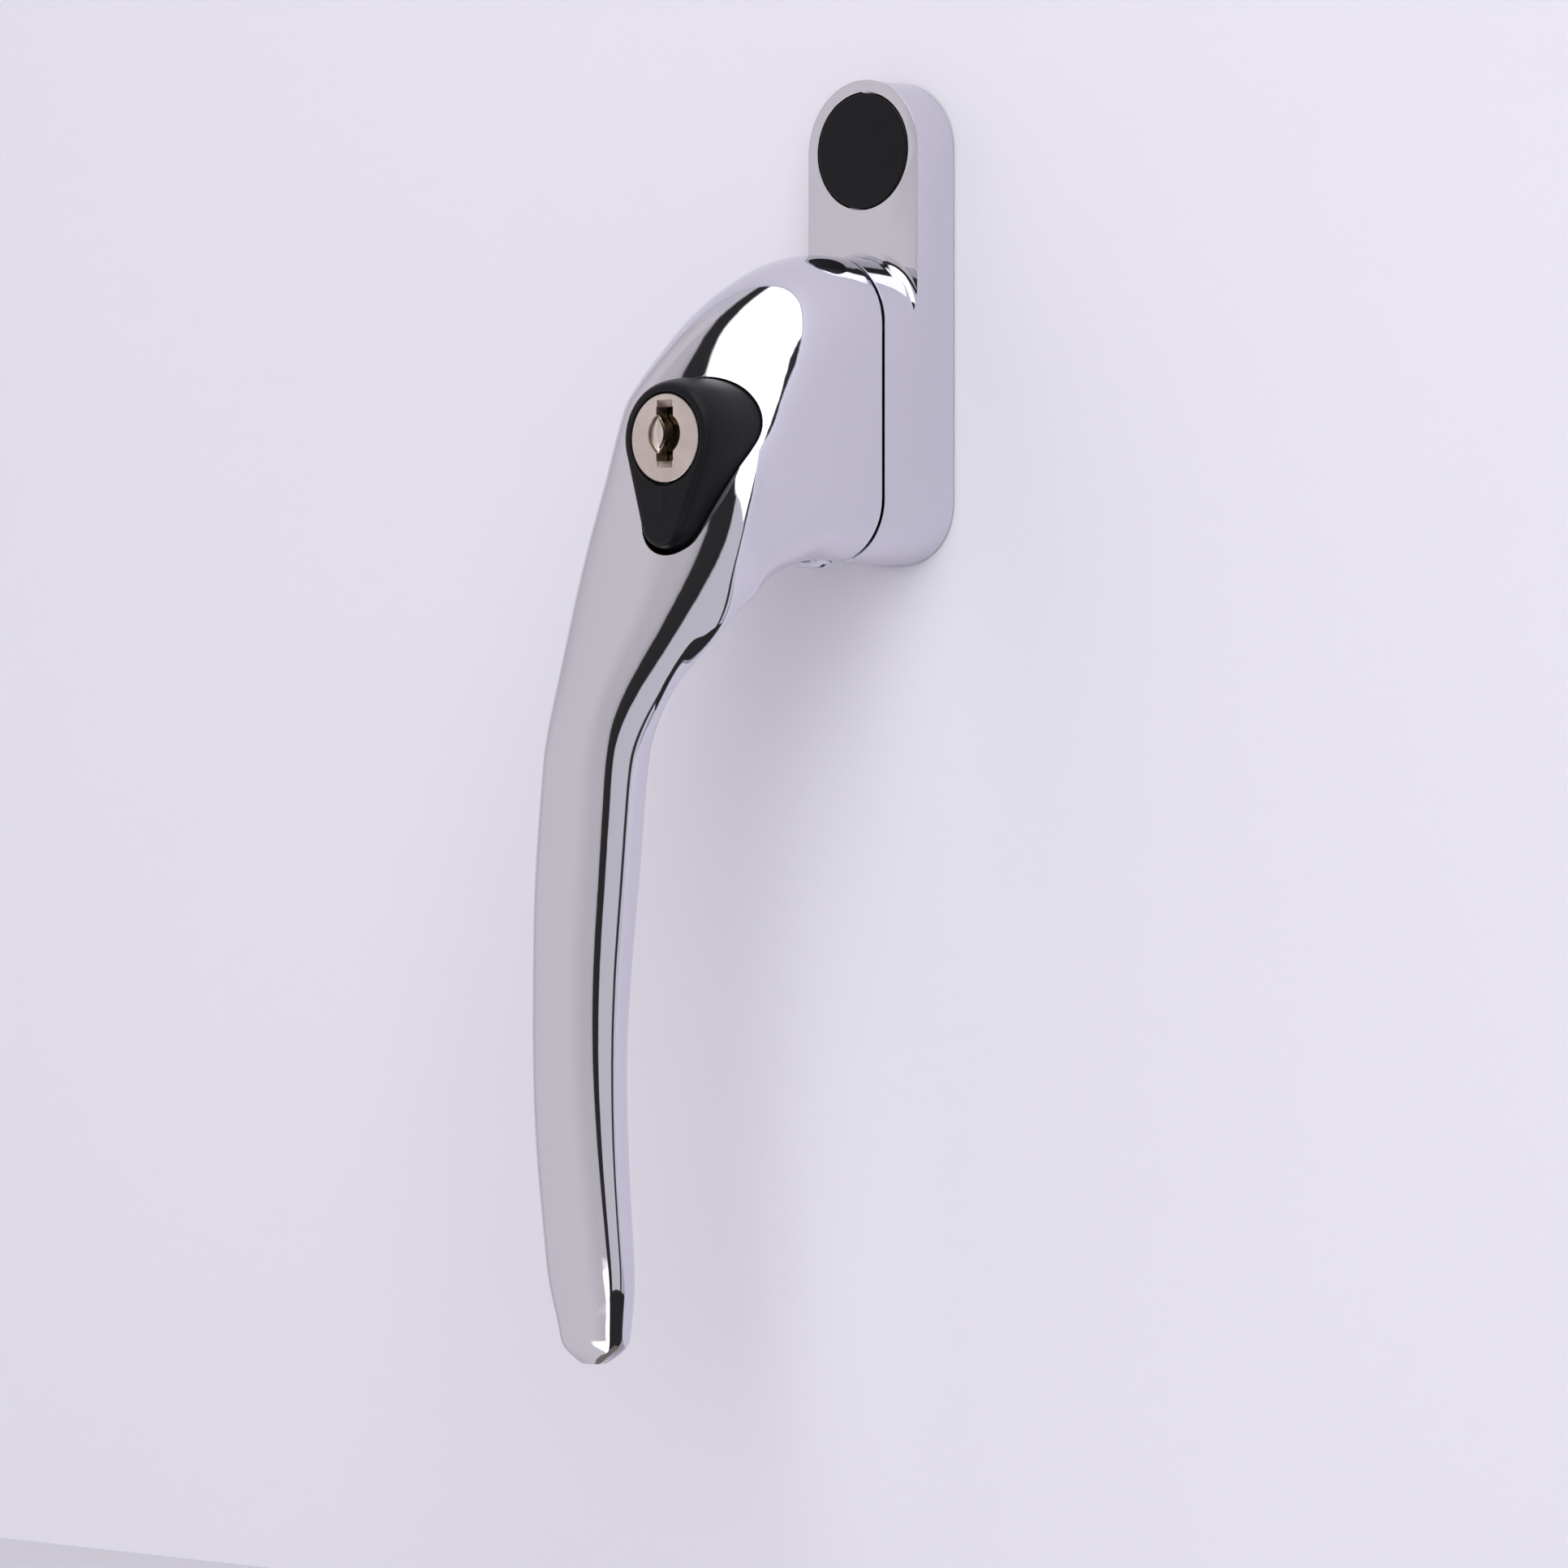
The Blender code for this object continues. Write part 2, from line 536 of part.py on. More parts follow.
def lever(cross_hole):
    last = len(STATIONS) - 1
    count = last * RINGS_PER_STATION
    rings = [lever_section(last * i / count, CORNER_STEPS) for i in range(count + 1)]
    handle = loft("lever", rings, PARTS, CHROME)
    smooth(handle)
    stub = turned("stub", [
        (0, STUB_END), (STUB_RADIUS, STUB_END), (STUB_RADIUS, -1.3), (5.3, -1.3), (5.3, -2.15),
        (STUB_RADIUS, -2.15), (STUB_RADIUS, -18), (0, -18)], (0, 0), CUTTERS)
    boolean(handle, turned("washer_recess", [
        (7.75, -12), (7.75, -14.1), (0.01, -14.1), (0.01, -12)], (0, 0), CUTTERS))
    boolean(handle, stub, "UNION")
    side = SPINDLE_SIDE / 2 + 0.1
    boolean(handle, box("spindle_socket", (-side, SPINDLE_FRONT - 0.5, -side), (side, 1, side),
                        CUTTERS))
    boolean(handle, cross_hole)
    pocket_floor = BUTTON_BACK + BUTTON_TRAVEL + 0.5
    boolean(handle, prism("button_pocket", teardrop(BUTTON_GAP), -60, pocket_floor, CUTTERS))
    boolean(handle, turned("barrel_bore", [
        (0, -13), (LOCK_PIN_RADIUS + 0.2, -13), (LOCK_PIN_RADIUS + 0.2, SPRING_SEAT),
        (BARREL_RADIUS + 0.25, SPRING_SEAT), (BARREL_RADIUS + 0.25, pocket_floor - 1),
        (0, pocket_floor - 1)], (0, LOCK_Z), CUTTERS))
    boolean(handle, pin("stop_screw_head_seat", 2.45, (0, STOP_SCREW_Y, -32),
                        (0, STOP_SCREW_Y, -26.6), CUTTERS, sides=20))
    boolean(handle, pin("stop_screw_hole", 1.55, (0, STOP_SCREW_Y, -28),
                        (0, STOP_SCREW_Y, -14.5), CUTTERS))


def stop_screw():
    """The domed screw under the hub: its tip rides in the locking pin's flat and limits its travel."""
    profile = [(0, -15.8), (0.8, -15.8), (0.8, -19.0), (1.4, -19.6), (1.4, -26.8), (2.3, -26.8),
               (2.3, -28.1), (1.5, -28.6), (0, -28.8)]
    made = turned("pin_stop_screw", profile, (0, 0), PARTS, CHROME, steps=20)
    made.rotation_euler = (0, 0, 0)
    made.location = (0, STOP_SCREW_Y * MM, 0)
    boolean(made, box("stop_screw_slot", (-3, STOP_SCREW_Y - 0.35, -30),
                      (3, STOP_SCREW_Y + 0.35, -28.2), CUTTERS))


def button_ring(grow, drop):
    """One loop round the button, drop mm behind its face, which rises towards the tip."""
    tip = BUTTON_TIP_Z - BUTTON_TIP_RADIUS
    fade = max(0, 1 - drop / 8)
    ring = []
    for x, z in teardrop(grow, 28):
        share = max(0, (BUTTON_RISE_START - z) / (BUTTON_RISE_START - tip))
        ring.append((x, BUTTON_FACE + drop - BUTTON_RISE * share * fade, z))
    return ring


def push_button():
    """The thumb button: a drafted teardrop with a rolled front edge, bored for the lock barrel."""
    steps = ((0, BUTTON_BACK - BUTTON_FACE), (0, 3.6), (-0.1, 2.4), (-0.3, 1.4), (-0.65, 0.6),
             (-0.95, 0.15), (-BUTTON_ROLL, 0), (-2.5, 0), (-3.9, 0))
    button = loft("push_button", [button_ring(grow, drop) for grow, drop in steps], PARTS, BLACK)
    smooth(button, 40)
    set_origin(button, (0, BUTTON_BACK, LOCK_Z))
    lip = BUTTON_FACE + 1.3
    front = BUTTON_FACE - BUTTON_RISE - 1
    boolean(button, turned("barrel_seat", [
        (0, BUTTON_BACK + 1), (BARREL_RADIUS + 0.15, BUTTON_BACK + 1), (BARREL_RADIUS + 0.15, lip),
        (PLUG_HEAD_RADIUS + 0.15, lip), (PLUG_HEAD_RADIUS + 0.15, front), (0, front)],
        (0, LOCK_Z), CUTTERS))


def lock_parts():
    turned("lock_barrel", [
        (BARREL_RADIUS, BARREL_BACK), (BARREL_RADIUS, -40.9), (PLUG_RADIUS + 0.15, -40.9),
        (PLUG_RADIUS + 0.15, -32.3), (4.75, -32.3), (4.75, BARREL_BACK)],
        (0, LOCK_Z), PARTS, ZINC)
    stem = turned("locking_pin", [
        (0, LOCK_PIN_TIP), (LOCK_PIN_RADIUS - 0.4, LOCK_PIN_TIP),
        (LOCK_PIN_RADIUS, LOCK_PIN_TIP - 0.5), (LOCK_PIN_RADIUS, -28.6), (4.6, -28.6),
        (4.6, -30.0), (0, -30.0)], (0, LOCK_Z), PARTS, STEEL, steps=24)
    low = LOCK_Z - LOCK_PIN_RADIUS
    boolean(stem, box("stem_flat", (-3, STOP_SCREW_Y - 5.4, low - 1),
                      (3, STOP_SCREW_Y + 1.2, low + 0.8), CUTTERS))
    coil("button_spring", (0, -28.2, LOCK_Z), (0, 1, 0), 3.6, 0.32, 9.2, 6, STEEL, steps=14)


def keyway_outline():
    """A slot for a curved key blade: straight at its ends, bowed to the right in the middle."""
    half, bow, lobe = 1.3, 2.02, 2.4
    z = KEYWAY_Z
    right = arc((0, z), lobe, -57, 57, 8)
    left = [(-half + 1.1 * (1 - (dz / bow) ** 2), z + dz) for dz in (2.02, 1.35, 0.67, 0,
                                                                    -0.67, -1.35, -2.02)]
    return right + [(half, z + 3.15), (-half, z + 3.15)] + left + [(-half, z - 3.15),
                                                                  (half, z - 3.15)]


def plug_parts():
    plug = turned("lock_plug", [
        (0, PLUG_BACK), (PLUG_RADIUS, PLUG_BACK), (PLUG_RADIUS, -41.1), (PLUG_HEAD_RADIUS, -41.1),
        (PLUG_HEAD_RADIUS, BUTTON_FACE + 0.1), (PLUG_HEAD_RADIUS - 0.1, BUTTON_FACE),
        (0, BUTTON_FACE)], (0, LOCK_Z), PARTS, NICKEL, steps=40)
    boolean(plug, prism("keyway", keyway_outline(), BUTTON_FACE - 1, PLUG_BACK - 0.8, CUTTERS))
    for number, y in enumerate(WAFER_YS, start=1):
        boolean(plug, box(f"wafer_slot_{number}", (-2.75, y - 0.45, LOCK_Z - 5),
                          (2.75, y + 0.45, LOCK_Z + 5), CUTTERS))
        wafer = box(f"wafer_{number}", (-2.45, y - 0.3, LOCK_Z - 2.9),
                    (2.45, y + 0.3, LOCK_Z + 2.9), PARTS, BRASS)
        step = 0.25 * (number % 3)
        boolean(wafer, box(f"wafer_window_{number}", (-1.4, y - 1, LOCK_Z - 2.1 + step),
                           (1.7, y + 1, LOCK_Z + 1.4 + step), CUTTERS))
        coil(f"wafer_spring_{number}", (-2.0, y, LOCK_Z + 3.02), (0, 0, 1), 0.28, 0.08, 0.5, 2,
             STEEL, steps=8)
    cam = turned("lock_cam", [(0, -30.3), (3.0, -30.3), (3.0, -31.7), (0, -31.7)],
                 (0, LOCK_Z), PARTS, STEEL, steps=24)
    boolean(cam, box("cam_lobe", (-1.5, -31.7 + 0.01, LOCK_Z + 1), (1.5, -30.3 - 0.01,
                                                                   LOCK_Z + 4.4), CUTTERS), "UNION")


clear_scene()
PARTS = collection("keyed_window_handle")
CUTTERS = collection("cutters")
CHROME = material("polished_chrome", (0.80, 0.80, 0.82), 0.05, 1.0)
NICKEL = material("satin_nickel", (0.72, 0.68, 0.65), 0.32, 1.0)
STEEL = material("zinc_plated_steel", (0.62, 0.63, 0.65), 0.3, 1.0)
ZINC = material("cast_zinc", (0.50, 0.51, 0.53), 0.45, 1.0)
BRASS = material("brass", (0.80, 0.62, 0.30), 0.3, 1.0)
BLACK = material("black_plastic", (0.015, 0.015, 0.018), 0.4, 0.0)
NYLON = material("white_nylon", (0.85, 0.85, 0.82), 0.5, 0.0)

base_plate()
screws_and_cap()
pivot_parts()
lever(spindle())
stop_screw()
push_button()
lock_parts()
plug_parts()
set_world_origin()
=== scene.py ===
"""Studio scene for the keyed window handle: chrome lever and base, black lock button, satin lock.

Shapes are in millimetres from the point where the spindle axis crosses the mounting face, with +X to
the right, +Y into the window and +Z up. Each finished piece is scaled to metres and lowered by
DROP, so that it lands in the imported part's frame. Cards, lamps and the camera are placed in metres
in that frame.
"""

import math

import bmesh
import bpy
import numpy as np
from mathutils import Matrix, Vector


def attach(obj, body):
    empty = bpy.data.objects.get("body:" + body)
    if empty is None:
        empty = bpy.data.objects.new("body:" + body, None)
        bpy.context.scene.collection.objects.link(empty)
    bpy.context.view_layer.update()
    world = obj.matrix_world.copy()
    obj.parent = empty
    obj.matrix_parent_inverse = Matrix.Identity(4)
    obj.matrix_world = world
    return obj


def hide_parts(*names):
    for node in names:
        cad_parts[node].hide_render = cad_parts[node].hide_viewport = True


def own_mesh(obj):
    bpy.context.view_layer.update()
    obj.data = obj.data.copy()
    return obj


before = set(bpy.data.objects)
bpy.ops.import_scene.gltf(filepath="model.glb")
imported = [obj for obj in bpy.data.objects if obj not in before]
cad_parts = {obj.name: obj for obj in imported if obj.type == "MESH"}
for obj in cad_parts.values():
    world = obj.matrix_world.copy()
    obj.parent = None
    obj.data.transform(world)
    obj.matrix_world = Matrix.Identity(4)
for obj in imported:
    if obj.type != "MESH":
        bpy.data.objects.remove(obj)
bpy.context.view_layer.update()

MM = 0.001
DROP = 10.75
TO_WORLD = Matrix.Scale(MM, 4) @ Matrix.Translation((0, 0, -DROP))

# ---------------------------------------------------------------- dimensions of the base and cap
FIXING = 21.5
BASE_HALF_WIDTH = 8.5
BASE_BOTTOM = -28.0
BASE_BOTTOM_RADIUS = 7.5
BASE_DEPTH = 12.8
LUG_DEPTH = 6.8
BASE_EDGE = 0.75
SHOULDER_RADIUS = 8.56
SHOULDER_FILLET = 1.2
# The shoulder meets the lug within this half-width and below this height.
SHOULDER_ROOT = (8.3, 20)
SHANK_RADIUS = 2.7
SHANK_END = -2.4
SCREW_HEAD_SEAT = -4.6
LOWER_SCREW_RADIUS = 4.7
KEEPER_RADIUS = 2.25
KEEPER_FLOOR = -8.8
CAP_RADIUS = 6.95
CAP_GAP = 0.12
CAP_RIM = 0.35
CAP_FACE_RADIUS = 6.4
CAP_DOME = 0.12

# ---------------------------------------------------------------- dimensions of the lock
LOCK_Z = -14.3
BUTTON_FACE = -42.4
BUTTON_BACK = -31.8
BUTTON_RADIUS = 7.2
BUTTON_TIP_RADIUS = 4.05
BUTTON_TIP_Z = -23.6
BUTTON_RISE = 1.1
BUTTON_RISE_DEPTH = 8
BUTTON_RISE_SOFT = 0.1
BUTTON_GAP = 0.2
BUTTON_TRAVEL_ROOM = 4.5
PLUG_HEAD_RADIUS = 5.15
PLUG_RADIUS = 4.3
PLUG_BACK = -32.0
PLUG_HEAD_BACK = -41.1
KEYWAY_Z = LOCK_Z + 0.5
KEYWAY_HALF_WIDTH = 1.3
KEYWAY_HALF_HEIGHT = 3.15
KEYWAY_BULGE = 1.1
WARD_HALF_HEIGHT = 2.25
WARD_RADIUS = 2.55
WARD_ROWS = 16
WARD_COLUMNS = 8
WARD_POCKET_RADIUS = 2.6
WAFER_DEPTHS = (-40.0, -38.0, -36.0, -34.0)
WAFER_SLOT_HALVES = (2.75, 0.45, 5)

# ---------------------------------------------------------------- dimensions of the lever
HUB_BACK = -13.15
HUB_EDGE = 0.3
SPINDLE_HALF_HOLE = 3.6
SPINDLE_PIN_Y = -8.0
SPINDLE_PIN_RADIUS = 1.4
STOP_SCREW_Y = -16.2
STOP_SCREW_RADIUS = 1.55
STOP_HEAD_RADIUS = 2.45

# Each row is a section of the lever: the inner and outer rail as (y, z), the x of its left side,
# right side and foot, the right corner's width and height, the radii of its left, foot and heel
# corners, and how far its face leans, in degrees.
STATIONS = (
    ((HUB_BACK, -28.0), (HUB_BACK, 8.5), -8.5, 8.5, 8.5, 8.5, 8.5, 8.5, 7.5, 7.5, 7),
    ((-15.5, -28.0), (-15.5, 8.5), -8.5, 8.5, 8.5, 8.5, 8.5, 8.5, 7.5, 7.5, 7),
    ((-19.0, -28.0), (-19.5, 8.0), -8.5, 8.5, 8.5, 8.5, 8.5, 8.0, 7.5, 7.5, 8),
    ((-24.0, -29.0), (-26.0, 5.5), -8.5, 8.5, 8.5, 9.0, 10.0, 7.5, 7.0, 7.0, 34),
    ((-28.5, -30.5), (-32.0, 1.0), -9.5, 8.5, 8.5, 9.5, 11.5, 6.5, 6.5, 6.0, 50),
    ((-32.0, -32.0), (-35.5, -3.5), -10.5, 8.5, 8.5, 9.0, 10.5, 5.5, 5.0, 6.0, 44),
    ((-35.0, -33.5), (-38.5, -9.5), -12.0, 8.5, 9.0, 8.0, 8.0, 4.0, 4.0, 5.0, 32),
    ((-37.5, -35.5), (-40.5, -17.5), -13.0, 9.5, 8.5, 7.5, 6.0, 3.0, 3.0, 4.0, 20),
    ((-39.0, -38.5), (-42.5, -26.0), -14.0, 8.0, 6.5, 6.5, 4.0, 2.5, 2.5, 3.5, 10),
    ((-40.0, -42.0), (-44.5, -35.5), -15.0, 4.0, 2.0, 6.0, 2.5, 2.5, 2.0, 3.0, 5),
    ((-40.5, -48.0), (-46.0, -45.5), -16.0, -1.5, -2.0, 4.5, 3.0, 2.0, 2.0, 3.0, 7),
    ((-40.8, -56.0), (-47.0, -54.5), -16.4, -2.9, -3.3, 4.0, 2.9, 2.0, 2.0, 2.6, 7),
    ((-41.7, -66.0), (-47.7, -66.0), -16.8, -3.3, -3.5, 3.8, 2.8, 2.0, 2.0, 2.4, 7),
    ((-42.3, -76.0), (-47.9, -76.0), -16.9, -4.0, -4.1, 3.6, 2.6, 2.0, 2.0, 2.3, 7),
    ((-42.7, -88.0), (-47.8, -88.0), -16.9, -4.4, -4.5, 3.1, 2.3, 1.9, 1.9, 2.2, 7),
    ((-42.4, -98.0), (-47.3, -98.0), -16.7, -4.4, -4.5, 2.5, 2.0, 1.8, 1.8, 2.0, 7),
    ((-42.0, -107.0), (-46.6, -107.0), -16.2, -4.2, -4.3, 2.1, 1.8, 1.7, 1.7, 1.9, 7),
    ((-41.7, -113.5), (-46.0, -113.5), -15.6, -4.3, -4.4, 1.8, 1.6, 1.6, 1.6, 1.8, 7),
    ((-41.8, -118.2), (-45.4, -118.2), -14.7, -5.0, -5.0, 1.5, 1.4, 1.5, 1.4, 1.5, 7),
    ((-42.3, -120.6), (-44.9, -120.6), -13.6, -6.2, -6.2, 1.2, 1.1, 1.2, 1.1, 1.2, 7),
    ((-43.0, -121.8), (-44.2, -121.8), -11.7, -8.4, -8.4, 0.55, 0.45, 0.5, 0.45, 0.5, 7),
)
# The crank is polished between these two places among the rows, with this many passes.
CRANK = (6.0, 10.6)
IRON_PASSES = 60
FACE_LEFT_TURN = 6.8
FACE_TWIST = 0.4
SPINE_STIFFNESS = 0.36
RING_SPACING = 0.6
HUB_EDGE_STEPS = 6
CURVE_STEPS = 40
CORNER_STEPS = 14
RIGHT_STEPS = 20
FACE_STEPS = 16
LEFT_STEPS = 10
FLANK_STEPS = 16


# ---------------------------------------------------------------- building
def piece(name, bm, finish, body, replaced=(), angle=35):
    """Makes a smooth-shaded piece of a mesh in mm, moves it into the part's frame and rides it."""
    bmesh.ops.recalc_face_normals(bm, faces=bm.faces)
    mesh = bpy.data.meshes.new(name)
    bm.to_mesh(mesh)
    bm.free()
    mesh.transform(TO_WORLD)
    obj = bpy.data.objects.new(name, mesh)
    bpy.context.scene.collection.objects.link(obj)
    mesh.materials.append(finish)
    mesh.set_sharp_from_angle(angle=math.radians(angle))
    for polygon in mesh.polygons:
        polygon.use_smooth = True
    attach(obj, body)
    if replaced:
        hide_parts(*replaced)
    return obj


def blank(bm):
    """A solid in mm that only lives while it is cut or cuts another."""
    bmesh.ops.recalc_face_normals(bm, faces=bm.faces)
    mesh = bpy.data.meshes.new("blank")
    bm.to_mesh(mesh)
    bm.free()
    obj = bpy.data.objects.new("blank", mesh)
    bpy.context.scene.collection.objects.link(obj)
    return obj


def cut(bm, *cutters, operation="DIFFERENCE"):
    """The mesh bm after each cutter is taken from it, or joined to it for a UNION."""
    target = blank(bm)
    tools = [blank(cutter) for cutter in cutters]
    for tool in tools:
        modifier = target.modifiers.new("cut", "BOOLEAN")
        modifier.solver = "EXACT"
        modifier.operation = operation
        modifier.object = tool
    graph = bpy.context.evaluated_depsgraph_get()
    made = bmesh.new()
    made.from_mesh(target.evaluated_get(graph).to_mesh())
    for obj in (target, *tools):
        bpy.data.objects.remove(obj)
    return made


def round_edges(bm, width, segments, angle, wanted):
    """Rounds the edges sharper than angle whose middle is wanted."""
    edges = [e for e in bm.edges if len(e.link_faces) == 2
             and e.calc_face_angle(0) > math.radians(angle)
             and wanted((e.verts[0].co + e.verts[1].co) / 2)]
    bmesh.ops.bevel(bm, geom=edges, offset=width, offset_type="OFFSET", segments=segments,
                    profile=0.5, affect="EDGES", clamp_overlap=True)


def arc(centre, radius, start, end, steps):
    """Points of an arc round centre, from start to end in degrees."""
    turns = [math.radians(start + (end - start) * i / steps) for i in range(steps + 1)]
    return [(centre[0] + radius * math.cos(a), centre[1] + radius * math.sin(a)) for a in turns]


def skin(rings):
    """Joins closed rings of equal point count and caps both ends."""
    bm = bmesh.new()
    made = [[bm.verts.new(point) for point in ring] for ring in rings]
    count = len(rings[0])
    for first, second in zip(made, made[1:]):
        for i in range(count):
            j = (i + 1) % count
            bm.faces.new((first[i], first[j], second[j], second[i]))
    for ring in (made[0], made[-1]):
        hub = bm.verts.new(sum((vert.co for vert in ring), Vector()) / count)
        for i in range(count):
            bm.faces.new((ring[i], ring[(i + 1) % count], hub))
    return bm


def prism(outline, near, far):
    """A closed outline in (x, z) run between two depths, with flat end faces."""
    bm = bmesh.new()
    rings = [[bm.verts.new((x, y, z)) for x, z in outline] for y in (near, far)]
    count = len(outline)
    for i in range(count):
        j = (i + 1) % count
        bm.faces.new((rings[0][i], rings[0][j], rings[1][j], rings[1][i]))
    bm.faces.new(rings[0])
    bm.faces.new(rings[1])
    return bm


def turned(profile, centre=(0, 0), steps=96):
    """A lathe form round the Y line through (x, z) centre; the profile holds (radius, y) pairs."""
    bm = bmesh.new()
    columns = []
    for radius, y in profile:
        if radius < 1e-6:
            columns.append([bm.verts.new((centre[0], y, centre[1]))] * steps)
            continue
        turns = [2 * math.pi * i / steps for i in range(steps)]
        columns.append([bm.verts.new((centre[0] + radius * math.cos(a), y,
                                      centre[1] + radius * math.sin(a))) for a in turns])
    closed = profile[0][0] > 1e-6 and profile[-1][0] > 1e-6
    pairs = list(zip(columns, columns[1:]))
    if closed:
        pairs.append((columns[-1], columns[0]))
    for first, second in pairs:
        for i in range(steps):
            j = (i + 1) % steps
            corners = []
            for vert in (first[i], first[j], second[j], second[i]):
                if vert not in corners:
                    corners.append(vert)
            if len(corners) > 2:
                bm.faces.new(corners)
    return bm


def rod(along, radius, low, high, y, steps):
    """A rod along X or Z from low to high, at depth y."""
    turn, axis = {"X": (-90, "Z"), "Z": (90, "X")}[along]
    bm = turned([(0, high), (radius, high), (radius, low), (0, low)], steps=steps)
    bmesh.ops.rotate(bm, verts=bm.verts, matrix=Matrix.Rotation(math.radians(turn), 3, axis))
    bmesh.ops.translate(bm, verts=bm.verts, vec=(0, y, 0))
    return bm


def box(low, high):
    """A box between two corners."""
    bm = bmesh.new()
    made = bmesh.ops.create_cube(bm, size=1)["verts"]
    for vert in made:
        vert.co = [low[k] + (vert.co[k] + 0.5) * (high[k] - low[k]) for k in range(3)]
    return bm


# ---------------------------------------------------------------- lever
class Spline:
    """A smooth curve through every column of the stations, with a straight start."""

    def __init__(self, rows):
        self.values = np.array(rows, float)
        middle = (self.values[:, 0:2] + self.values[:, 2:4]) / 2
        steps = np.linalg.norm(np.diff(middle, axis=0), axis=1)
        self.knots = np.concatenate([[0], np.cumsum(steps)])
        count = len(rows)
        system, right = np.zeros((count, count)), np.zeros_like(self.values)
        slopes = np.diff(self.values, axis=0) / steps[:, None]
        system[0, 0], system[0, 1] = 2 * steps[0], steps[0]
        system[-1, -1] = 1
        for i in range(1, count - 1):
            system[i, i - 1:i + 2] = steps[i - 1], 2 * (steps[i - 1] + steps[i]), steps[i]
            right[i] = 6 * (slopes[i] - slopes[i - 1])
        self.bends = np.linalg.solve(system, right)

    def at(self, u):
        """The columns and their slopes at distance u."""
        i = int(np.clip(np.searchsorted(self.knots, u) - 1, 0, len(self.knots) - 2))
        step = self.knots[i + 1] - self.knots[i]
        a, b = (self.knots[i + 1] - u) / step, (u - self.knots[i]) / step
        low, high = self.values[i], self.values[i + 1]
        bend_low, bend_high = self.bends[i], self.bends[i + 1]
        value = (a * low + b * high
                 + ((a**3 - a) * bend_low + (b**3 - b) * bend_high) * step**2 / 6)
        slope = ((high - low) / step
                 + ((3 * b**2 - 1) * bend_high - (3 * a**2 - 1) * bend_low) * step / 6)
        return value, slope


def depth_curve(value, slope):
    """Points of the curve that leaves both rails squarely, from the outer one, and their depths."""
    inner, outer = value[0:2], value[2:4]
    into_inner = np.array([slope[1], -slope[0]]) / np.linalg.norm(slope[0:2])
    into_outer = np.array([-slope[3], slope[2]]) / np.linalg.norm(slope[2:4])
    reach = np.linalg.norm(outer - inner) * SPINE_STIFFNESS
    row = (outer, outer + into_outer * reach, inner + into_inner * reach, inner)
    f = np.linspace(0, 1, CURVE_STEPS + 1)[:, None]
    weights = (1 - f)**3, 3 * f * (1 - f)**2, 3 * f**2 * (1 - f), f**3
    points = sum(w * p for w, p in zip(weights, row))
    depths = np.concatenate([[0], np.cumsum(np.linalg.norm(np.diff(points, axis=0), axis=1))])
    return points, depths


def flank_angle(across, tall, wide, high, foot_r):
    """How far the line that touches an ellipse above and a circle below leans back, in radians."""
    low, top = math.radians(-80), math.radians(85)
    while top - low > 1e-5:
        middle = (low + top) / 2
        sine, cosine = math.sin(middle), math.cos(middle)
        reach = across * cosine - tall * sine + math.hypot(wide * cosine, high * sine) - foot_r
        low, top = (middle, top) if reach > 0 else (low, middle)
    return low


def sweep(x, depth, x_r, depth_r, start, end, steps, last=False):
    """Points of an ellipse round (x, depth) from start to end in radians; last adds the end."""
    turns = [start + (end - start) * i / steps for i in range(steps + last)]
    return [(x + x_r * math.cos(a), depth - depth_r * math.sin(a)) for a in turns]


def between(a, b, steps):
    """The points that divide the line from a to b into steps."""
    return [(a[0] + (b[0] - a[0]) * i / steps, a[1] + (b[1] - a[1]) * i / steps)
            for i in range(1, steps)]


def lever_outline(sizes, deep):
    """One section's outline as (x, depth): right corner, face, left side, heel, foot and flank."""
    left, right, foot, wide, high, left_r, foot_r, heel_r, lean = sizes
    left_turn = math.radians(FACE_LEFT_TURN - FACE_TWIST * lean)
    lean = math.radians(lean)
    sine, left_sine = math.sin(lean), math.sin(left_turn)
    cosine, left_cosine = math.cos(lean), math.cos(left_turn)
    turn = math.atan2(high * cosine, wide * sine)
    crown_r = right - wide * (1 - math.cos(turn)) - left - left_r * (1 - left_sine)
    crown_r = max(crown_r, 0.01) / (sine + left_sine)
    middle = right - wide * (1 - math.cos(turn)) - crown_r * sine
    right_drop = crown_r * (1 - cosine) + high * math.sin(turn)
    left_drop = crown_r + (left_r - crown_r) * left_cosine
    lean_back = flank_angle(right - wide - foot + foot_r, deep - foot_r - right_drop,
                            wide, high, foot_r)
    down = math.atan2(high * math.sin(lean_back), wide * math.cos(lean_back))
    half, whole = math.pi / 2, math.pi
    crown_end = half + left_turn
    heel, heel_depth, foot_x = left + heel_r, deep - heel_r, foot - foot_r

    outline = sweep(right - wide, right_drop, wide, high, -down, turn, RIGHT_STEPS)
    outline += sweep(middle, crown_r, crown_r, crown_r, half - lean, crown_end, FACE_STEPS)
    outline += sweep(left + left_r, left_drop, left_r, left_r, crown_end, whole, CORNER_STEPS, True)
    outline += between((left, outline[-1][1]), (left, heel_depth), LEFT_STEPS)
    outline += sweep(heel, heel_depth, heel_r, heel_r, whole, 3 * half, CORNER_STEPS, True)
    outline += between((heel, deep), (foot_x, deep), FACE_STEPS)
    outline += sweep(foot_x, deep - foot_r, foot_r, foot_r, 3 * half, 4 * half - lean_back,
                     CORNER_STEPS, True)
    return np.array(outline + between(outline[-1], outline[0], FLANK_STEPS))


def lever_ring(value, slope):
    """One loop round the lever as (x, y, z) points."""
    points, depths = depth_curve(value, slope)
    outline = lever_outline(value[4:], depths[-1])
    y = np.interp(outline[:, 1], depths, points[:, 0])
    z = np.interp(outline[:, 1], depths, points[:, 1])
    return np.column_stack([outline[:, 0], y, z])


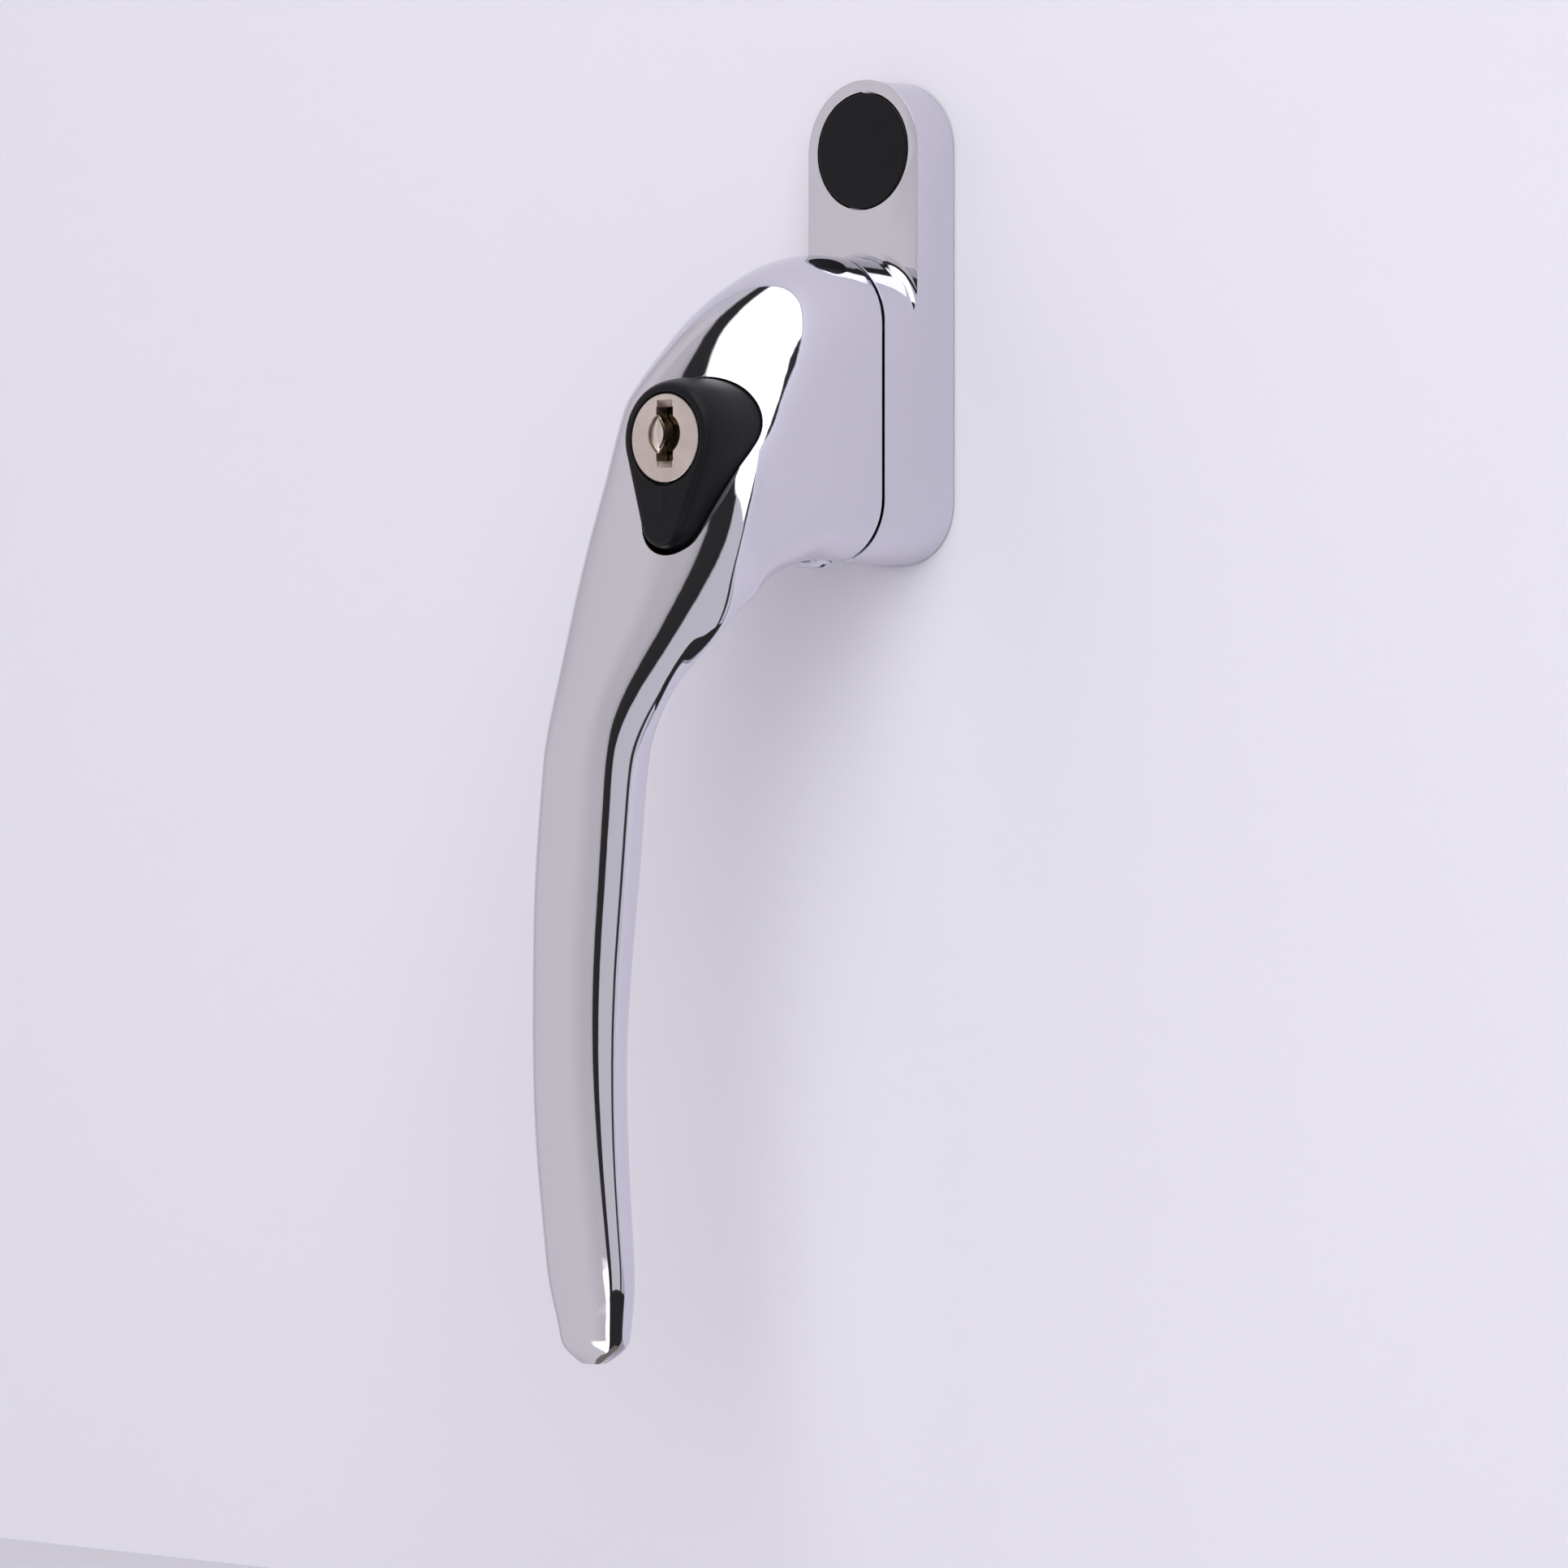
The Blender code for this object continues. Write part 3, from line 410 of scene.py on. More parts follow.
def inset_ring(ring, inset, y):
    """A flat ring pulled in by inset and placed at depth y."""
    along = np.roll(ring, -1, axis=0) - np.roll(ring, 1, axis=0)
    out = np.column_stack([along[:, 2], -along[:, 0]])
    out /= np.linalg.norm(out, axis=1)[:, None]
    centre = ring.mean(axis=0)
    if ((ring[:, [0, 2]] - centre[[0, 2]]) * out).sum() < 0:
        out = -out
    moved = ring.copy()
    moved[:, 0] -= out[:, 0] * inset
    moved[:, 2] -= out[:, 1] * inset
    moved[:, 1] = y
    return moved


def ironed(rings, weight):
    """The rings averaged with their neighbours where weight is above 0, as polishing does."""
    grid = np.array(rings)
    for _ in range(IRON_PASSES):
        around = (np.roll(grid, 1, axis=1) + np.roll(grid, -1, axis=1)) / 2
        along = grid.copy()
        along[1:-1] = (grid[:-2] + grid[2:]) / 2
        grid = grid + weight * ((around + along) / 2 - grid)
    return grid


def lever_body():
    """The lever without its holes: a rounded edge at the hub's back, then the loft to the tip."""
    curve = Spline([(*s[0], *s[1], *s[2:]) for s in STATIONS])
    start, total = HUB_EDGE, curve.knots[-1]
    first = lever_ring(*curve.at(start))
    rings = []
    for i in range(HUB_EDGE_STEPS):
        angle = math.pi / 2 * i / HUB_EDGE_STEPS
        rings.append(inset_ring(first, HUB_EDGE * (1 - math.sin(angle)),
                                HUB_BACK - HUB_EDGE * (1 - math.cos(angle))))
    count = round((total - start) / RING_SPACING)
    for i in range(count + 1):
        rings.append(lever_ring(*curve.at(start + (total - start) * (i / count))))
    rows = np.interp(start + (total - start) * np.arange(-HUB_EDGE_STEPS, count + 1) / count,
                     curve.knots, range(len(curve.knots)))
    weight = np.clip(np.minimum(rows - CRANK[0], CRANK[1] - rows), 0, 1)
    rings = ironed(rings, weight[:, None, None])
    return skin([[Vector(point) for point in ring] for ring in rings])


def teardrop(grow, steps=48):
    """The button's outline in (x, z), widened by grow."""
    big, small = BUTTON_RADIUS + grow, BUTTON_TIP_RADIUS + grow
    lean = math.degrees(math.asin((big - small) / (LOCK_Z - BUTTON_TIP_Z)))
    return (arc((0, LOCK_Z), big, -lean, 180 + lean, steps)
            + arc((0, BUTTON_TIP_Z), small, 180 + lean, 360 - lean, steps // 2))


def make_lever():
    """The lever with its pivot stub, spindle hole, button pocket and stop screw hole."""
    recess = turned([(7.75, -12), (7.75, -14.1), (0.01, -14.1), (0.01, -12)], steps=64)
    stub = turned([(0, -0.6), (5.8, -0.6), (6, -0.8), (6, -1.3), (5.3, -1.3), (5.3, -2.15),
                   (6, -2.15), (6, -18), (0, -18)], steps=64)
    body = cut(cut(lever_body(), recess), stub, operation="UNION")
    floor, half = BUTTON_BACK + BUTTON_TRAVEL_ROOM, SPINDLE_HALF_HOLE
    body = cut(body,
               box((-half, -24.5, -half), (half, 1, half)),
               rod("X", SPINDLE_PIN_RADIUS, -9, 9, SPINDLE_PIN_Y, 32),
               prism(teardrop(BUTTON_GAP), -60, floor),
               turned([(0, -13), (2.2, -13), (2.2, -18.6), (5.85, -18.6), (5.85, floor - 1),
                       (0, floor - 1)], (0, LOCK_Z), 64),
               rod("Z", STOP_HEAD_RADIUS, -32, -26.6, STOP_SCREW_Y, 40),
               rod("Z", STOP_SCREW_RADIUS, -28, -14.5, STOP_SCREW_Y, 40))
    piece("lever_shell", body, CHROME, "lever", ("lever",), angle=32)


# ---------------------------------------------------------------- base
def base_outline():
    """The base's outline in (x, z): round over the upper screw, with rounded lower corners."""
    r, w, bottom = BASE_BOTTOM_RADIUS, BASE_HALF_WIDTH, BASE_BOTTOM + BASE_BOTTOM_RADIUS
    return (arc((0, FIXING), w, 0, 180, 72) + arc((-w + r, bottom), r, 180, 270, 30)
            + arc((w - r, bottom), r, 270, 360, 30))


def in_front_of_lug():
    """What is cut away in front of the lug, down to the round shoulder with its hollow fillet."""
    root = -LUG_DEPTH - SHOULDER_FILLET
    hollow = [(SHOULDER_RADIUS + SHOULDER_FILLET * (1 - math.sin(math.radians(a))),
               root + SHOULDER_FILLET * math.cos(math.radians(a))) for a in range(0, 91, 9)]
    shoulder = turned([(0, -LUG_DEPTH + 1), (SHOULDER_RADIUS + SHOULDER_FILLET, -LUG_DEPTH + 1)]
                      + hollow + [(SHOULDER_RADIUS, -BASE_DEPTH - 3), (0, -BASE_DEPTH - 3)],
                      steps=160)
    return cut(box((-12, -BASE_DEPTH - 2, 0), (12, -LUG_DEPTH, 34)), shoulder)


def on_front(middle):
    """Whether an edge's middle is on the front of the lug or base, clear of the shoulder's root."""
    near = 0.05
    on_lug = -LUG_DEPTH - near < middle.y < -LUG_DEPTH + near
    on_base = middle.y < -BASE_DEPTH + near
    at_root = on_lug and abs(middle.x) < SHOULDER_ROOT[0] and middle.z < SHOULDER_ROOT[1]
    return (on_lug or on_base) and not at_root


def make_base():
    """The base with its bush bore, screw holes, keeper hole and detent slot."""
    body = cut(prism(base_outline(), -BASE_DEPTH, 0), in_front_of_lug())
    bmesh.ops.dissolve_limit(body, angle_limit=math.radians(0.5), verts=body.verts,
                             edges=body.edges)
    round_edges(body, BASE_EDGE, 5, 50, on_front)
    shank = [(0, 1), (SHANK_RADIUS, 1), (SHANK_RADIUS, SHANK_END)]
    cap_hole = CAP_RADIUS + CAP_GAP
    body = cut(body,
               turned([(0, 1), (7.75, 1), (7.75, -3.1), (6.95, -3.1), (6.95, -12.1),
                       (7.7, -12.1), (7.7, -14), (0, -14)]),
               turned(shank + [(4.6, SCREW_HEAD_SEAT), (cap_hole, SCREW_HEAD_SEAT),
                               (cap_hole, -8), (0, -8)], (0, FIXING)),
               turned(shank + [(LOWER_SCREW_RADIUS, SCREW_HEAD_SEAT), (LOWER_SCREW_RADIUS, -14),
                               (0, -14)], (0, -FIXING)),
               turned([(0, KEEPER_FLOOR), (KEEPER_RADIUS, KEEPER_FLOOR), (KEEPER_RADIUS, -14),
                       (0, -14)], (0, LOCK_Z), 48),
               box((-1.65, -4.6, -15.6), (1.65, 1, -6.5)))
    made = piece("base_shell", body, CHROME, "base", ("base_plate",), angle=32)
    made.data.materials.append(ZINC)
    for polygon in made.data.polygons:
        if polygon.center.y > -1e-5:
            polygon.material_index = 1


def make_cap():
    """The push-in cap over the upper screw: slightly domed, with a rolled rim."""
    face, rim = -LUG_DEPTH - 0.15, CAP_RIM
    dome = [(r, face - CAP_DOME * (1 - (r / CAP_FACE_RADIUS) ** 2))
            for r in (CAP_FACE_RADIUS, 5, 3.6, 2, 0)]
    roll = [(CAP_RADIUS - rim * (1 - math.sin(math.radians(a))),
             face + rim * (1 - math.cos(math.radians(a)))) for a in range(90, -1, -15)]
    profile = [(0, -5.2), (5.4, -5.2), (5.4, -4.8), (6.5, -4.8), (6.5, -5.2),
               (CAP_RADIUS, -5.5)] + roll + dome
    piece("cap_cover", turned(profile, (0, FIXING), 128), BLACK, "base", ("screw_cap",))


# ---------------------------------------------------------------- button and lock
def button_ring(grow, drop):
    """One loop round the button, drop mm behind its face, which rises towards the tip."""
    tip, begin, soft = BUTTON_TIP_Z - BUTTON_TIP_RADIUS, LOCK_Z - 2, BUTTON_RISE_SOFT
    fade = max(0, 1 - drop / BUTTON_RISE_DEPTH)
    ring = []
    for x, z in teardrop(grow, 72):
        share = max(0, (begin - z) / (begin - tip))
        share = (math.hypot(share, soft) - soft) / (math.hypot(1, soft) - soft)
        ring.append(Vector((x, BUTTON_FACE + drop - BUTTON_RISE * share * fade, z)))
    return ring


def make_button():
    """The thumb button: a rolled front edge running into drafted sides."""
    steps = [(0, BUTTON_BACK - BUTTON_FACE), (0, 8.0), (0, 5.5), (-0.02, 4.4), (-0.09, 3.3),
             (-0.2, 2.4), (-0.32, 1.7), (-0.45, 1.15), (-0.58, 0.75), (-0.75, 0.42), (-0.92, 0.2),
             (-1.12, 0.06), (-1.35, 0), (-1.9, 0), (-2.4, 0), (-3.0, 0), (-3.5, 0), (-3.95, 0)]
    lip, front = BUTTON_FACE + 1.3, BUTTON_FACE - BUTTON_RISE - 1
    near, wide = PLUG_HEAD_RADIUS + 0.12, PLUG_HEAD_RADIUS + 0.45
    seat = turned([(0, BUTTON_BACK + 1), (5.75, BUTTON_BACK + 1), (5.75, lip),
                   (PLUG_HEAD_RADIUS + 0.25, lip), (near, lip - 0.3), (near, BUTTON_FACE + 0.25),
                   (wide, BUTTON_FACE - 0.35), (wide, front), (0, front)], (0, LOCK_Z), 128)
    body = cut(skin([button_ring(grow, drop) for grow, drop in steps]), seat)
    piece("button_shell", body, BLACK, "button", ("push_button",), angle=40)


def ward_edge(share):
    """The x of the curve between ward and keyway; share runs from -1 to 1 over the ward's height."""
    return -KEYWAY_HALF_WIDTH + KEYWAY_BULGE * (1 - share**2)


def keyway_outline():
    """The keyway in (x, z): a slot with a round lobe at the right and a bulge in at the left."""
    half, tall, bow, lobe = KEYWAY_HALF_WIDTH, KEYWAY_HALF_HEIGHT, 2.02, 2.4
    right = arc((0, KEYWAY_Z), lobe, -57, 57, 24)
    left = [(ward_edge(i / 8), KEYWAY_Z - bow * i / 8) for i in range(-8, 9)]
    return (right + [(half, KEYWAY_Z + tall), (-half, KEYWAY_Z + tall)] + left
            + [(-half, KEYWAY_Z - tall), (half, KEYWAY_Z - tall)])


def end_notch(side):
    """A sloping notch beyond one end of the keyway, as a stamped key guide leaves."""
    near, far = KEYWAY_Z + side * 2.9, KEYWAY_Z + side * 3.95
    face = BUTTON_FACE
    bm = bmesh.new()
    ends = []
    for x in (-KEYWAY_HALF_WIDTH, KEYWAY_HALF_WIDTH):
        corners = ((x, face - 1, near), (x, face - 1, far), (x * 0.92, face, far),
                   (x * 0.8, face + 1.1, near))
        ends.append([bm.verts.new(corner) for corner in corners])
    for a in range(4):
        b = (a + 1) % 4
        bm.faces.new((ends[0][a], ends[0][b], ends[1][b], ends[1][a]))
    bm.faces.new(ends[0])
    bm.faces.new(ends[1])
    return bm


def ward_pocket():
    """The shallow recess left of the keyway that the ward sits in."""
    side = math.degrees(math.asin(WARD_HALF_HEIGHT / WARD_POCKET_RADIUS))
    outline = arc((0.05, KEYWAY_Z), WARD_POCKET_RADIUS, 180 - side, 180 + side, 20)
    outline += [(-0.9, KEYWAY_Z - 2.3), (-0.9, KEYWAY_Z + 2.3)]
    return prism(outline, BUTTON_FACE - 1, BUTTON_FACE + 1.15)


def make_plug():
    """The lock plug: a satin face with a keyway whose ends are notched, and slots for wafers."""
    face, head = BUTTON_FACE, PLUG_HEAD_RADIUS
    body = turned([(0, PLUG_BACK), (PLUG_RADIUS, PLUG_BACK), (PLUG_RADIUS, PLUG_HEAD_BACK),
                   (head, PLUG_HEAD_BACK), (head, face + 0.12), (head - 0.04, face + 0.04),
                   (head - 0.12, face), (0, face)], (0, LOCK_Z), 128)
    wide, thick, tall = WAFER_SLOT_HALVES
    slots = [box((-wide, y - thick, LOCK_Z - tall), (wide, y + thick, LOCK_Z + tall))
             for y in WAFER_DEPTHS]
    body = cut(body, prism(keyway_outline(), face - 1, -32.8), ward_pocket(), *slots,
               end_notch(1), end_notch(-1))
    piece("plug_face", body, NICKEL, "plug", ("lock_plug",), angle=25)


def make_ward():
    """The bright lens that fills the keyway's left lobe, a little below the face; its brightness is
    partly a painted highlight in its lighter nickel colour and partly its lower roughness.
    """
    bm = bmesh.new()
    rows = []
    for i in range(WARD_ROWS + 1):
        share = -1 + 2 * i / WARD_ROWS
        half = WARD_HALF_HEIGHT * share
        right = ward_edge(share) - 0.02
        left = min(0.05 - math.sqrt(WARD_RADIUS**2 - half**2), right)
        row = []
        for k in range(WARD_COLUMNS + 1):
            across = k / WARD_COLUMNS
            bulge = (1 - share * share) * (1 - (2 * across - 1) ** 2)
            row.append(bm.verts.new((left + (right - left) * across,
                                     BUTTON_FACE + 0.42 - 0.34 * bulge, KEYWAY_Z + half)))
        rows.append(row)
    for a, b in zip(rows, rows[1:]):
        for k in range(WARD_COLUMNS):
            bm.faces.new((a[k], a[k + 1], b[k + 1], b[k]))
    bmesh.ops.remove_doubles(bm, verts=bm.verts, dist=1e-4)
    grown = bmesh.ops.extrude_face_region(bm, geom=bm.faces[:])
    for vert in grown["geom"]:
        if isinstance(vert, bmesh.types.BMVert):
            vert.co.y = BUTTON_FACE + 1.1
    piece("plug_ward", bm, NICKEL_PAINTED_HIGHLIGHT, "plug")


def make_coil():
    """The spring behind the button, copied from the part's spring and carried by the lever."""
    coil = bpy.data.objects.new("button_coil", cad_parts["button_spring"].data.copy())
    bpy.context.scene.collection.objects.link(coil)
    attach(coil, "lever")
    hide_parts("button_spring")
    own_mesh(coil)


# ---------------------------------------------------------------- materials
class Nodes:
    """A material's or the world's node tree, with short calls that add nodes and link them."""

    def __init__(self, tree):
        self.tree = tree

    def fill(self, node, inputs):
        """Links each input that is a socket and sets each one that is a value."""
        for key, value in inputs.items():
            if isinstance(value, bpy.types.NodeSocket):
                self.tree.links.new(value, node.inputs[key])
            else:
                node.inputs[key].default_value = value

    def add(self, kind, inputs=(), **settings):
        node = self.tree.nodes.new(kind)
        for name, value in settings.items():
            setattr(node, name, value)
        self.fill(node, dict(inputs))
        return node

    def math(self, operation, a, b=0.0, c=0.0, clamp=False):
        node = self.add("ShaderNodeMath", {0: a, 1: b, 2: c}, operation=operation)
        node.use_clamp = clamp
        return node.outputs[0]

    def noise(self, place, scale, detail, rough, distort=0.0):
        inputs = {"Scale": scale, "Detail": detail, "Roughness": rough, "Distortion": distort,
                  "Vector": place}
        return self.add("ShaderNodeTexNoise", inputs).outputs["Fac"]

    def remap(self, value, low, high, to_low, to_high, kind="LINEAR"):
        """The value moved from the range low to high into the range to_low to to_high."""
        inputs = {"Value": value, "From Min": low, "From Max": high, "To Min": to_low,
                  "To Max": to_high}
        return self.add("ShaderNodeMapRange", inputs, interpolation_type=kind).outputs["Result"]

    def step(self, value, edge, soft, to_low=0.0, to_high=1.0):
        """A smooth step that is soft wide, centred on edge."""
        return self.remap(value, edge - soft / 2, edge + soft / 2, to_low, to_high, "SMOOTHSTEP")

    def mix(self, fac, a, b):
        node = self.add("ShaderNodeMix", data_type="RGBA")
        self.fill(node, {0: fac, 6: a, 7: b})
        return node.outputs[2]

    def bump(self, height, strength, distance, **inputs):
        settings = {"Strength": strength, "Distance": distance, "Height": height, **inputs}
        return self.add("ShaderNodeBump", settings).outputs[0]

    def ramp(self, fac, stops):
        """A colour that runs straight between stops of (place, colour)."""
        node = self.add("ShaderNodeValToRGB", {"Fac": fac})
        elements = node.color_ramp.elements
        while len(elements) < len(stops):
            elements.new(0.5)
        for element, (place, colour) in zip(elements, stops):
            element.position = place
            element.color = colour
        return node.outputs["Color"]


def grey(value, tint=(1, 1, 1)):
    """A colour of this brightness, with a tint."""
    return (value * tint[0], value * tint[1], value * tint[2], 1)


def new_material(name):
    """A material, its nodes, its Principled shader and the place on the object in metres."""
    made = bpy.data.materials.new(name)
    made.use_nodes = True
    nodes = Nodes(made.node_tree)
    shader = made.node_tree.nodes["Principled BSDF"]
    place = nodes.add("ShaderNodeTexCoord").outputs["Object"]
    return made, nodes, shader, place


def chrome():
    """Polished chrome: mirror-like, with faint smudges and a trace of orange peel."""
    made, nodes, shader, place = new_material("polished_chrome_look")
    smudge = nodes.noise(place, 55, detail=4, rough=0.62, distort=1.2)
    patch = nodes.noise(place, 22, detail=2, rough=0.5)
    haze = nodes.math("MULTIPLY", nodes.remap(smudge, 0.52, 0.75, 0, 1),
                      nodes.remap(patch, 0.5, 0.7, 0, 1), clamp=True)
    rough = nodes.remap(haze, 0, 1, 0.035, 0.13)
    tint = nodes.mix(haze, grey(1, CHROME_COLOUR), grey(0.94, CHROME_COLOUR))
    edge = nodes.add("ShaderNodeBevel", {"Radius": 0.00012}, samples=4).outputs[0]
    peel = nodes.noise(place, 320, detail=2, rough=0.5)
    nodes.fill(shader, {"Roughness": rough, "Base Color": tint, "Metallic": 1,
                        "Normal": nodes.bump(peel, 0.035, 0.0004, Normal=edge)})
    return made


def brushed(name, colour, rough, stretch, strength):
    """Satin metal with fine scratches that run along the direction with the smallest stretch."""
    made, nodes, shader, place = new_material(name)
    spread = nodes.add("ShaderNodeMapping", {"Vector": place, "Scale": stretch,
                                             "Rotation": (0.2, 0.5, 0.3)}).outputs[0]
    lines = nodes.noise(spread, 260, detail=5, rough=0.7)
    cloud = nodes.noise(place, 160, detail=4, rough=0.6)
    tint = nodes.mix(nodes.remap(cloud, 0.3, 0.7, 0, 1), grey(1, colour), grey(0.82, colour))
    nodes.fill(shader, {"Base Color": tint, "Metallic": 1,
                        "Roughness": nodes.remap(lines, 0.3, 0.7, rough - 0.07, rough + 0.1),
                        "Normal": nodes.bump(lines, strength, 0.0002)})
    return made


def plastic(name, colour, rough, grain, strength, sheen):
    """Moulded plastic: a fine grain and slow changes of gloss."""
    made, nodes, shader, place = new_material(name)
    cloud = nodes.noise(place, 90, detail=3, rough=0.5)
    tint = nodes.mix(nodes.remap(cloud, 0.35, 0.65, 0, 1), grey(1, colour), grey(1.25, colour))
    grains = nodes.noise(place, grain, detail=2, rough=0.6)
    nodes.fill(shader, {"Base Color": tint, "Specular IOR Level": sheen,
                        "Roughness": nodes.remap(cloud, 0.3, 0.7, rough - 0.04, rough + 0.05),
                        "Normal": nodes.bump(grains, strength, 0.0001)})
    return made


def paper(name, colour):
    """Matt card with the faintest change of tone."""
    made, nodes, shader, place = new_material(name)
    cloud = nodes.noise(place, 6, detail=3, rough=0.5)
    tint = nodes.mix(nodes.remap(cloud, 0.35, 0.65, 0, 1), grey(1, colour), grey(0.985, colour))
    nodes.fill(shader, {"Base Color": tint, "Roughness": 0.85, "Specular IOR Level": 0.1})
    return made, nodes, shader


def glow(name, colour):
    """A card's plain colour, which needs no light."""
    made = bpy.data.materials.new(name)
    made.use_nodes = True
    nodes = Nodes(made.node_tree)
    lamp = nodes.add("ShaderNodeEmission", {"Color": colour})
    nodes.fill(made.node_tree.nodes["Material Output"], {"Surface": lamp.outputs[0]})
    return made


CHROME_COLOUR = (0.67, 0.66, 0.72)
CHROME = chrome()
NICKEL = brushed("satin_nickel_look", (0.76, 0.67, 0.62), 0.36, (1, 1, 5), 0.25)
# A copy of the satin nickel for the ward, with a lighter colour that is a painted highlight and a
# lower roughness.
NICKEL_PAINTED_HIGHLIGHT = brushed("nickel_painted_highlight_look", (0.80, 0.73, 0.66), 0.2, (3, 1, 1), 0.35)
STEEL = brushed("zinc_plated_look", (0.60, 0.61, 0.62), 0.26, (1, 6, 1), 0.2)
ZINC = brushed("cast_zinc_look", (0.50, 0.50, 0.52), 0.42, (1, 1, 1), 0.6)
BRASS = brushed("brass_look", (0.10, 0.07, 0.035), 0.28, (1, 1, 4), 0.2)
BLACK = plastic("black_plastic_look", (0.006, 0.006, 0.0075), 0.36, 2600, 0.10, 0.16)
NYLON = plastic("white_nylon_look", (0.74, 0.73, 0.68), 0.45, 1200, 0.15, 0.5)
CAD_FINISHES = {"pin_stop_screw": CHROME, "lock_barrel": ZINC, "pivot_bush": NYLON,
                "wafer_1": BRASS, "wafer_2": BRASS, "wafer_3": BRASS, "wafer_4": BRASS}


def dress_cad_nodes():
    """Gives every CAD node its finish; what isn't listed is zinc-plated steel."""
    for name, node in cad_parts.items():
        node.data.materials.clear()
        node.data.materials.append(CAD_FINISHES.get(name, STEEL))
        for polygon in node.data.polygons:
            polygon.material_index = 0


# ---------------------------------------------------------------- stage, in metres
WALL_Y = 0.0003
FLOOR_Z = -0.168
WARM = (1.04, 0.99, 1.03)
COOL = (1.0, 0.98, 1.06)
WHITE = (1, 1, 1)
BROWN = (1.1, 0.95, 0.85)
# What the chrome reflects all round: azimuth in degrees, brightness and tint. Azimuth 0 is straight
# in front of the handle, and +90 is to its right.
ROOM = [
    (-180, 0.80, COOL), (-128, 0.75, COOL), (-118, 0.45, WARM), (-100, 0.50, WARM),
    (-84, 0.60, WARM), (-55, 0.72, WARM), (-37, 0.74, WARM), (-31, 0.62, WARM),
    (-22, 0.60, WARM), (-17, 0.50, WARM), (-16, 0.035, WHITE), (5, 0.03, WHITE),
    (6, 0.68, COOL), (64, 0.70, COOL), (66, 0.05, WHITE), (78, 0.04, WHITE),
    (80, 0.72, COOL), (100, 0.80, COOL), (180, 0.82, COOL),
]
# Patches over it: azimuth from, to and softness, height from, to and softness, all in degrees, then
# brightness and tint.
PATCHES = [
    (60, 92, 6, 27, 62, 8, 0.04, WHITE),
    (-30, -16, 1.5, -49, -12, 1.5, 2.6, WHITE),
    (-38, -28, 3, -49, -18, 3, 2.6, WHITE),
]
# Overhead shapes on a plane one unit up: brightness, tint, and edges (a, b, least), inside which
# across * a + ahead * b >= least.
OVERHEAD = [
    (0.70, COOL, [(0.45, -1, -0.50), (-1, 0, 0.2)]),
    (0.035, WHITE, [(1, 0, -0.26), (0, 1, -0.15), (-1, 0, 0), (0, -1, -1.10)]),
    (2.2, WHITE, [(1, -0.12, -0.10), (0, 1, -0.26), (0, -1, -1.12), (-1, 0, -1.30)]),
]
OVERHEAD_SOFT = 0.06
OVERHEAD_LOWEST = 0.06
OVERHEAD_DIVISOR = 0.05
BACKDROP = 0.80
TIP_CARDS_CENTRE = Vector((-0.0105, -0.044, 0))
SCREEN_RADIUS = 0.15
SCREEN_BOTTOM = -0.40
SCREEN_TOP = -0.171
SCREEN_FROM = -16
SCREEN_TURN = 148
SCREEN_STEPS = 30
SHEET_HALF = 0.075
SHEET_Z = -0.235
KEY_PLACE = Vector((0.75, -1.1, 0.35))
KEY_TARGET = Vector((0, 0, -0.06))
KEY_SIZE = 1.1
KEY_WATTS = 9.0
CAMERA_PLACE = (0.4998, -0.6023, -0.06504)
CAMERA_TURN = 40.7
CAMERA_LENS = 149.07


def sheet(name, corners, finish):
    """A flat card of the stage with four corners."""
    mesh = bpy.data.meshes.new(name)
    mesh.from_pydata(corners, [], [(0, 1, 2, 3)])
    return staged(name, mesh, finish)


def staged(name, mesh, finish):
    """A card of the stage made from a mesh."""
    mesh.materials.append(finish)
    obj = bpy.data.objects.new(name, mesh)
    bpy.context.scene.collection.objects.link(obj)
    return obj


def square(half):
    """The corners of a square round the origin, anticlockwise."""
    return [(-half, -half), (half, -half), (half, half), (-half, half)]


def wall_paper():
    """A card that is only there while the camera is in front of it."""
    made, nodes, shader = paper("wall_card", (0.78, 0.765, 0.825))
    turn = nodes.add("ShaderNodeVectorTransform", {"Vector": (0, 0, 1)}, vector_type="VECTOR",
                     convert_from="CAMERA", convert_to="WORLD").outputs[0]
    split = nodes.add("ShaderNodeSeparateXYZ", {"Vector": turn}).outputs[1]
    in_front = nodes.math("GREATER_THAN", split, 0.5)
    clear = nodes.add("ShaderNodeBsdfTransparent").outputs[0]
    mixed = nodes.add("ShaderNodeMixShader", {0: in_front, 1: clear, 2: shader.outputs[0]})
    nodes.fill(made.node_tree.nodes["Material Output"], {"Surface": mixed.outputs[0]})
    return made


def make_stage():
    """The wall that the handle is screwed to, and the floor, which the chrome doesn't show."""
    sheet("wall_card", [(x, WALL_Y, z) for x, z in square(3)], wall_paper())
    floor_card = paper("floor_card", (0.60, 0.59, 0.63))[0]
    floor = sheet("floor", [(x, y, FLOOR_Z) for x, y in square(4)], floor_card)
    floor.visible_glossy = False


def patched(nodes, colour, azimuth, height):
    """The room's colour with its patches laid over it."""
    for az_low, az_high, az_soft, el_low, el_high, el_soft, value, tint in PATCHES:
        sides = nodes.math("MULTIPLY", nodes.step(azimuth, az_low, az_soft),
                           nodes.step(azimuth, az_high, az_soft, 1.0, 0.0))
        ends = nodes.math("MULTIPLY", nodes.step(height, el_low, el_soft),
                          nodes.step(height, el_high, el_soft, 1.0, 0.0))
        colour = nodes.mix(nodes.math("MULTIPLY", sides, ends), colour, grey(value, tint))
    return colour


